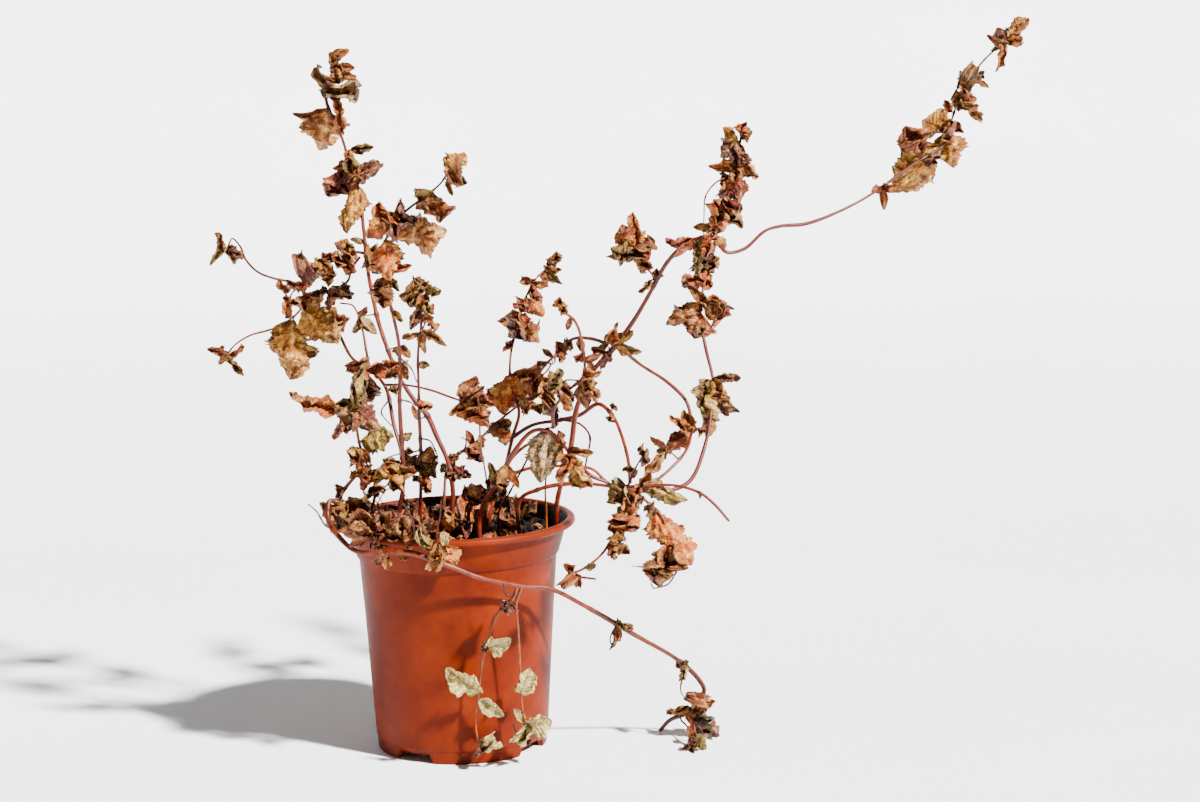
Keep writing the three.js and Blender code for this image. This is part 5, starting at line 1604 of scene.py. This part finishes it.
@dataclass
class NurseryPot:
    """The thin nursery pot: a turned profile, orange outside and black inside, with notches in its foot."""

    rim_radius: float = 65
    height: float = 127.4
    collar_height: float = 20.4
    collar_top: float = 60
    collar_foot: float = 55.6
    body_top: float = 54.3
    body_foot: float = 47.6
    foot_radius: float = 46.6
    foot_height: float = 7.5
    wall: float = 1.3
    floor: float = 6.5
    sides: int = 288
    notch_angles: tuple[float, ...] = (-32, 59, 150, 240)
    notch_width: float = 24
    notch_height: float = 5.6
    notch_slope: float = 2.4
    corner_radius: float = 0.9
    corner_points: int = 5
    row_step: float = 3.0
    inner_shade: float = 0.018
    inside_from: float = 60.2

    def profile(self) -> Array:
        """Lists the section's corners from the underside's middle, round the lip, to the floor's middle.

        Returns:
            Radius and height of each, shape (n, 2).
        """
        top = self.height
        return np.array([
            (0.01, self.floor - 2), (self.foot_radius - 3.2, self.floor - 2), (self.foot_radius - 2.6, 0.3),
            (self.foot_radius - 1.6, 0), (self.foot_radius, 0), (self.foot_radius + 0.2, 1.2),
            (self.foot_radius + 0.3, self.foot_height - 1), (self.body_foot, self.foot_height),
            (self.body_foot + 2.2, 40), (self.body_foot + 4.6, 78), (self.body_top, top - self.collar_height),
            (self.collar_foot, top - self.collar_height + 0.8), (self.collar_foot + 2.2, top - 12),
            (self.collar_top, top - 4.8), (self.rim_radius - 1.6, top - 4.3), (self.rim_radius, top - 3.2),
            (self.rim_radius - 0.2, top - 1), (self.rim_radius - 2, top), (self.rim_radius - 4.3, top - 0.2),
            (self.inside_from, top - 2), (self.collar_top - self.wall, top - 6),
            (self.collar_foot - self.wall, top - self.collar_height + 1),
            (self.body_top - self.wall, top - self.collar_height - 1),
            (self.body_foot - self.wall, self.floor + 1),
            (0.01, self.floor),
        ])

    @staticmethod
    def rounded(corners: Array, radius: float, steps: int) -> Array:
        """Rounds a profile's corners: each becomes a curve of second degree between points short of it.

        Args:
            corners: the profile, shape (n, 2).
            radius: how far from the corner the curve starts.
            steps: points a corner.

        Returns:
            The rounded profile.
        """
        before, here, after = corners[:-2], corners[1:-1], corners[2:]
        back = before - here
        ahead = after - here
        near = np.minimum(radius, np.linalg.norm(back, axis=1) * 0.45)[:, None]
        far = np.minimum(radius, np.linalg.norm(ahead, axis=1) * 0.45)[:, None]
        start = (here + unit(back) * near)[:, None]
        stop = (here + unit(ahead) * far)[:, None]
        t = np.linspace(0, 1, steps)[None, :, None]
        curve = start * (1 - t) ** 2 + 2 * here[:, None] * t * (1 - t) + stop * t**2
        return np.vstack([corners[:1], curve.reshape(-1, 2), corners[-1:]])

    def notch(self, angle: Array) -> Array:
        """Gives how high the foot's lower edge stands: a level with sloped ends at each notch, else 0.

        Args:
            angle: angles round the pot, in radians from +X.

        Returns:
            Heights in millimetres.
        """
        heights = np.zeros_like(angle)
        for turn in self.notch_angles:
            middle = math.radians(turn - 90)
            gap = np.abs(np.angle(np.exp(1j * (angle - middle)))) * self.foot_radius
            slope = np.clip((self.notch_width / 2 - gap) / self.notch_slope, 0, 1)
            heights = np.maximum(heights, self.notch_height * slope)
        return heights

    def build(self, plastic: Finish) -> None:
        """Makes the pot.

        Args:
            plastic: its finish.
        """
        section = self.rounded(self.profile(), self.corner_radius, self.corner_points)
        walked = np.concatenate([[0], np.cumsum(np.linalg.norm(np.diff(section, axis=0), axis=1))])
        stops = np.unique(np.concatenate([walked, np.arange(0, walked[-1], self.row_step)]))
        radius = np.interp(stops, walked, section[:, 0])[:, None]
        height = np.interp(stops, walked, section[:, 1])[:, None]
        angle = np.linspace(0, FULL_TURN, self.sides, endpoint=False)[None, :]
        raised = self.notch(angle)
        outside = radius > self.foot_radius - 2
        lowest = np.where(outside, raised, np.minimum(raised, self.floor - 2.3))
        low = height < self.foot_height - 1
        placed = np.where(low, np.maximum(height, lowest), height + 0 * angle)
        dents = ripple(2.2 * np.cos(angle) + 0 * height, 2.2 * np.sin(angle) + height / 40, 5, 5, 3.0)
        bend = np.where((height > 10) & (height < self.height - 4), 0.35, 0.12) * dents
        swollen = np.where(radius > 30, radius + bend, radius + 0 * angle)
        points = np.stack([swollen * np.cos(angle), swollen * np.sin(angle), placed], axis=-1)
        faces, uv = grid_faces(len(stops), self.sides, True)
        inner = (np.arange(len(stops)) > int(np.argmax(height))) & (radius[:, 0] < self.inside_from)
        splashes = ripple(9 * np.cos(angle), 9 * np.sin(angle), 8, 5, 4.0)
        dirt = np.clip(1 - height / 16, 0, 1) * 0.35 * (0.5 + splashes)
        shade = np.where(inner[:, None], self.inner_shade, np.clip(1 - dirt, 0.4, 1))
        tones = np.repeat(shade[..., None], 3, axis=-1)
        poles = np.stack([points[0].mean(axis=0), points[-1].mean(axis=0)])
        tones = np.vstack([tones.reshape(-1, 3), tones[0, :1], tones[-1, :1]])
        fans = end_fans(len(stops), self.sides)
        everywhere = np.vstack([points.reshape(-1, 3), poles])
        patch = Patch(everywhere, faces, uv, tones, fans, np.zeros((len(fans), 3, 2)))
        settle(build_mesh("pot_shell", [patch], plastic), "pot_plastic", "pot")


@dataclass
class PottingSoil:
    """The dried root ball's top, with crumbs, pale flecks, dead fibres and shed leaflets on it."""

    top: float = 117.5
    lumps: float = 2.4
    radius: float = 56.3
    depth: float = 30
    crumbs: int = 520
    flecks: int = 70
    fibres: int = 80
    leaflets: int = 96
    loose_leaflets: int = 40
    drift_twigs: int = 46
    rim_top: float = 127.4
    rings: int = 84
    sides: int = 216
    least_leaflet: float = 3
    drift_middle: float = 212
    drift_span: float = 88
    tangle_middle: float = 200
    tangle_span: float = 90
    tangle_swing: float = 1.2
    # Painted shade: how much darker a shed leaflet's hollow side is
    leaflet_hollow_shade: Colour = (0.4, 0.22, 0.12)

    def height(self, x: Array, y: Array) -> Array:
        """Gives the surface: long lumps as products of sines, shorter ripples, and a dip at the pot's wall.

        Args:
            x: millimetres right of the pot's axis.
            y: millimetres behind it.

        Returns:
            Heights above the floor.
        """
        lump = self.lumps * np.sin(x * 0.16 + 1) * np.cos(y * 0.19) + 0.8 * np.sin(x * 0.41 + y * 0.33)
        fine = 0.9 * ripple(x, y, 3, 6, 1.1) + 0.35 * ripple(x, y, 4, 6, 3.2)
        dip = np.clip((np.hypot(x, y) - 46) / 10, 0, 1) * 1.2
        return self.top + lump + fine - dip

    def bed(self) -> Patch:
        """Makes the root ball's top part: a disc of points at their heights, a skirt and a flat underside.

        Returns:
            A closed patch.
        """
        share = np.linspace(0.004, 1, self.rings)[:, None]
        angle = np.linspace(0, FULL_TURN, self.sides, endpoint=False)[None, :]
        lower = self.top - self.depth
        skirt = np.array([(0.94, lower + 21), (0.88, lower), (0.004, lower)])
        away = np.vstack([share, skirt[:, :1]]) * self.radius
        x, y = away * np.cos(angle), away * np.sin(angle)
        z = self.height(x, y)
        z[self.rings :] = skirt[:, 1:]
        points = np.stack([x, y, z], axis=-1)
        quads, uv = grid_faces(len(points), self.sides, True)
        poles = np.stack([points[0].mean(axis=0), points[-1].mean(axis=0)])
        everywhere = np.vstack([points.reshape(-1, 3), poles])
        fans = end_fans(len(points), self.sides)[:, ::-1]
        tones = np.ones_like(everywhere)
        return Patch(everywhere, quads[:, ::-1], uv[:, ::-1], tones, fans, np.zeros((len(fans), 3, 2)))

    def scatter(self, count: int, low: float, high: float, seed: int, tone: str) -> list[Patch]:
        """Strews small lumps over the soil: short tubes with a half circle's radius, each turned its own way.

        Args:
            count: how many.
            low: the least radius in millimetres.
            high: the greatest.
            seed: which scatter.
            tone: their sRGB colour.

        Returns:
            A patch for each.
        """
        rng = np.random.default_rng(SEED + seed)
        patches = []
        for _ in range(count):
            size = low + (high - low) * rng.random() ** 2.2
            away = (self.radius - 2) * math.sqrt(rng.random())
            turn = FULL_TURN * rng.random()
            x, y = away * math.cos(turn), away * math.sin(turn)
            ground = float(self.height(x, y))
            direction = unit(rng.normal(size=3)) * size
            share = np.linspace(-0.92, 0.92, 5)[:, None]
            centre = np.array([x, y, ground + size * 0.35])
            radius = size * np.sqrt(1 - share[:, 0] ** 2) * (0.7 + 0.4 * rng.random(5))
            colour = np.array(linear(tone)[:3]) * (0.5 + rng.random())
            patches.append(tube_patch(centre + share * direction, radius, 6, 0.1, np.clip(colour, 0, 1)))
        return patches

    def strands(self) -> list[Patch]:
        """Lays dead root fibres and stalk pieces on the soil, as thin tubes on slightly bent lines.

        Returns:
            A patch for each.
        """
        rng = np.random.default_rng(SEED + 5)
        browns = ("#4a2c18", "#2a160e", "#6a4828", "#1a0e0a")
        patches = []
        for _ in range(self.fibres):
            length = 5 + 16 * rng.random() ** 1.5
            away = (self.radius - 8) * math.sqrt(rng.random())
            turn = FULL_TURN * rng.random()
            heading = FULL_TURN * rng.random()
            share = np.linspace(-0.5, 0.5, 9)
            curve = (rng.random() - 0.5) * 0.8
            x = away * math.cos(turn) + length * share * math.cos(heading + curve * 0.5)
            y = away * math.sin(turn) + length * share * math.sin(heading) + curve * length * share**2
            inside = np.minimum(1, (self.radius - 1.5) / np.maximum(np.hypot(x, y), 1))
            x, y = x * inside, y * inside
            z = self.height(x, y) + 0.35 + 1.2 * rng.random() * (0.25 - share**2) * 4
            tone = np.array(linear(browns[int(rng.random() * len(browns))])[:3])
            radius = np.full(9, 0.14 + 0.28 * rng.random())
            patches.append(tube_patch(np.stack([x, y, z], axis=-1), radius, 5, 0.0, tone))
        return patches

    def tangle(self) -> list[Patch]:
        """Heaps dead twigs at the left front of the rim: thin arcs from the soil up over the lip and down.

        Returns:
            A patch for each.
        """
        rng = np.random.default_rng(SEED + 14)
        browns = ("#5a2e14", "#3a1c10", "#744018", "#4a1612")
        share = np.linspace(0, 1, 22)
        patches = []
        for _ in range(self.drift_twigs):
            start = math.radians(self.tangle_middle + self.tangle_span * (rng.random() - 0.5))
            swing = (rng.random() - 0.5) * self.tangle_swing
            turn = start + swing * share
            away = 44 + 12 * rng.random() + (24 * rng.random() - 8) * share
            arch = np.sin(math.pi * (share * 0.9 + 0.05)) ** 0.7
            rise = self.top + 2 + (11 + 9 * rng.random()) * arch
            z = np.where(away > self.radius, np.maximum(rise, self.rim_top + 0.7), rise)
            wobble = ripple(share * 9, share * 0, 40 * rng.random(), 4, 1.5)
            spine = np.stack([away * np.cos(turn) + 0.8 * wobble, away * np.sin(turn), z], axis=-1)
            tone = np.array(linear(browns[int(rng.random() * len(browns))])[:3])
            radius = (0.3 + 0.35 * rng.random()) * (1 - 0.5 * share)
            patches.append(tube_patch(spine, radius, 6, 0.0, tone))
        return patches

    def shed_leaves(self) -> list[Patch]:
        """Lays shed leaflets on the soil, most of them in the drift at the left front of the rim.

        Returns:
            The leaflets' patches.
        """
        rng = np.random.default_rng(SEED + 9)
        patches = []
        tones = (BROWN, ORANGE, DARK, RED, GOLD, BROWN, ORANGE)
        curls = (CUP, ROLL, DOME, HOOK, PLEAT)
        for i in range(self.leaflets + self.loose_leaflets):
            drift = i < self.leaflets
            over_rim = drift and i % 2 == 0
            away = (self.radius - 6) * math.sqrt(rng.random())
            draw = rng.random()
            turn = FULL_TURN * draw
            if drift:
                turn = math.radians(self.drift_middle + self.drift_span * (draw - 0.5))
            if over_rim:
                away = 58 + 8 * rng.random()
            elif drift:
                away = max(away, 30)
            limit = self.radius + 11 if over_rim else self.radius - 9
            length = 7 + 9 * rng.random()
            heading = FULL_TURN * rng.random()
            base = np.array([away * math.cos(turn), away * math.sin(turn), 0])
            tip = base + np.array([math.cos(heading), math.sin(heading), 0]) * length
            ends = np.stack([base, tip])
            inside = np.minimum(1, limit / np.maximum(np.hypot(ends[:, 0], ends[:, 1]), 1))
            ends[:, :2] *= inside[:, None]
            pile = 13 * rng.random() ** 1.4 if drift else 0.8
            ground = self.rim_top + 0.8 if over_rim else self.height(ends[:, 0], ends[:, 1]) + 1.4
            ends[:, 2] = ground + pile * rng.random(2) * (0.5 if over_rim else 1)
            outer = np.array(linear(tones[int(rng.random() * len(tones))].value)[:3])
            if np.linalg.norm(ends[1] - ends[0]) < self.least_leaflet:
                continue
            width = 5 + 5.5 * rng.random()
            curl = curls[int(rng.random() * len(curls))]
            # The back colour goes on each leaflet's hollow side as painted shade
            front, back = tuple(outer * 0.8), tuple(outer * np.array(self.leaflet_hollow_shade))
            patches += LeafBlade(*ends, None, width, curl, SHED_SEED + i, front, back, *SHED_GRID).patches()
        return patches

    def build(self, peat: Finish, fibre: Finish, leaf: Finish) -> None:
        """Makes the soil and what lies on it.

        Args:
            peat: the soil's finish.
            fibre: the strands' finish.
            leaf: the shed leaflets' finish.
        """
        settle(build_mesh("soil_bed", [self.bed()], peat), "soil", "soil")
        lumps = self.scatter(self.crumbs, 0.5, 2.4, 1, "#e0b898")
        settle(build_mesh("soil_crumbs", lumps, peat), "soil")
        flecks = self.scatter(self.flecks, 0.3, 0.9, 2, "#b8aca0")
        settle(build_mesh("soil_flecks", flecks, fibre), "soil")
        settle(build_mesh("soil_fibres", self.strands(), fibre), "stem")
        settle(build_mesh("rim_tangle", self.tangle(), fibre), "stem")
        settle(build_mesh("shed_leaflets", self.shed_leaves(), leaf), "leaf")


@dataclass
class Studio:
    """The floor sweep, the light from the right front and the camera of the front view."""

    key_turn: float = 52
    key_height: float = 43
    key_strength: float = 20.0
    key_angle: float = 4
    fill_colour: str = "#eef0f2"
    fill_strength: float = 0.24
    sensor: float = 36
    half_width: float = 4000
    bend_start: float = 1700
    bend_radius: float = 900

    def sweep(self, paint: Finish) -> None:
        """Makes the floor: level, then a quarter circle up into a backdrop.

        Args:
            paint: its finish.
        """
        bend = np.linspace(0, math.pi / 2, 24)
        level = np.array([-self.half_width, -500, 0, 500])
        y = np.concatenate([level, self.bend_start + self.bend_radius * np.sin(bend)])
        z = np.concatenate([0 * level, self.bend_radius * (1 - np.cos(bend))])
        x = np.linspace(-self.half_width, self.half_width, 9)
        grid = np.stack(np.broadcast_arrays(x[None, :], y[:, None], z[:, None]), axis=-1)
        faces, uv = grid_faces(len(y), len(x), False)
        floor = Patch(grid.reshape(-1, 3), faces, uv, np.ones((len(x) * len(y), 3)))
        piece = build_mesh("studio_sweep", [floor], paint)
        log.info("studio_sweep: %d faces", len(piece.data.polygons))

    def lights(self) -> None:
        """Sets a broad sun as the key light, from the right front, and a pale even sky as the fill."""
        sun = bpy.data.lights.new("key_light", "SUN")
        sun.energy = self.key_strength
        sun.angle = math.radians(self.key_angle)
        lamp = bpy.data.objects.new("key_light", sun)
        tilt = math.radians(90 - self.key_height)
        lamp.rotation_euler = (tilt, 0, math.radians(self.key_turn))
        bpy.context.scene.collection.objects.link(lamp)
        sky = bpy.data.worlds.new("pale_sky")
        sky.use_nodes = True
        ground = sky.node_tree.nodes["Background"]
        ground.inputs["Color"].default_value = linear(self.fill_colour)
        ground.inputs["Strength"].default_value = self.fill_strength
        bpy.context.scene.world = sky

    def camera(self) -> None:
        """Sets the camera at the front view's eye: its X is the view's right, its Y up and its Z backward."""
        forward, right, up = VIEW.axes()
        lens = bpy.data.cameras.new("front_camera")
        lens.sensor_width = self.sensor
        lens.lens = VIEW.focal / VIEW.width * self.sensor
        lens.clip_start = 0.05
        lens.clip_end = 30
        body = bpy.data.objects.new("front_camera", lens)
        place = (np.array(VIEW.eye) + AXIS) * METRE
        rows = np.stack([right, up, -forward, place], axis=1)
        body.matrix_world = Matrix(np.vstack([rows, [0, 0, 0, 1]]).tolist())
        bpy.context.scene.collection.objects.link(body)
        bpy.context.scene.camera = body


def main() -> None:
    """Builds the pot, soil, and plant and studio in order."""
    logging.basicConfig(level=logging.INFO, format="%(name)s: %(message)s")
    plastic = MouldedPolypropylene().build()
    peat = PeatCompost().build()
    bark = DriedHerbStem().build()
    leaf = DriedLeafBlade().build()
    pale_leaf = DriedLeafBlade(
        "bleached_leaf_blade",
        vein="#2e3408",
        vein_blend="MIX",
        vein_strength=0.85,
        net_strength=0.35,
        mottle="#b9ac78",
        side_veins=7,
        fineness=1.3,
    ).build()
    NurseryPot().build(plastic)
    PottingSoil().build(peat, bark, leaf)
    MintPlant().build(bark, leaf, pale_leaf)
    studio = Studio()
    studio.sweep(PaintedStudioFloor().build())
    studio.lights()
    studio.camera()


if __name__ == "__main__":
    main()
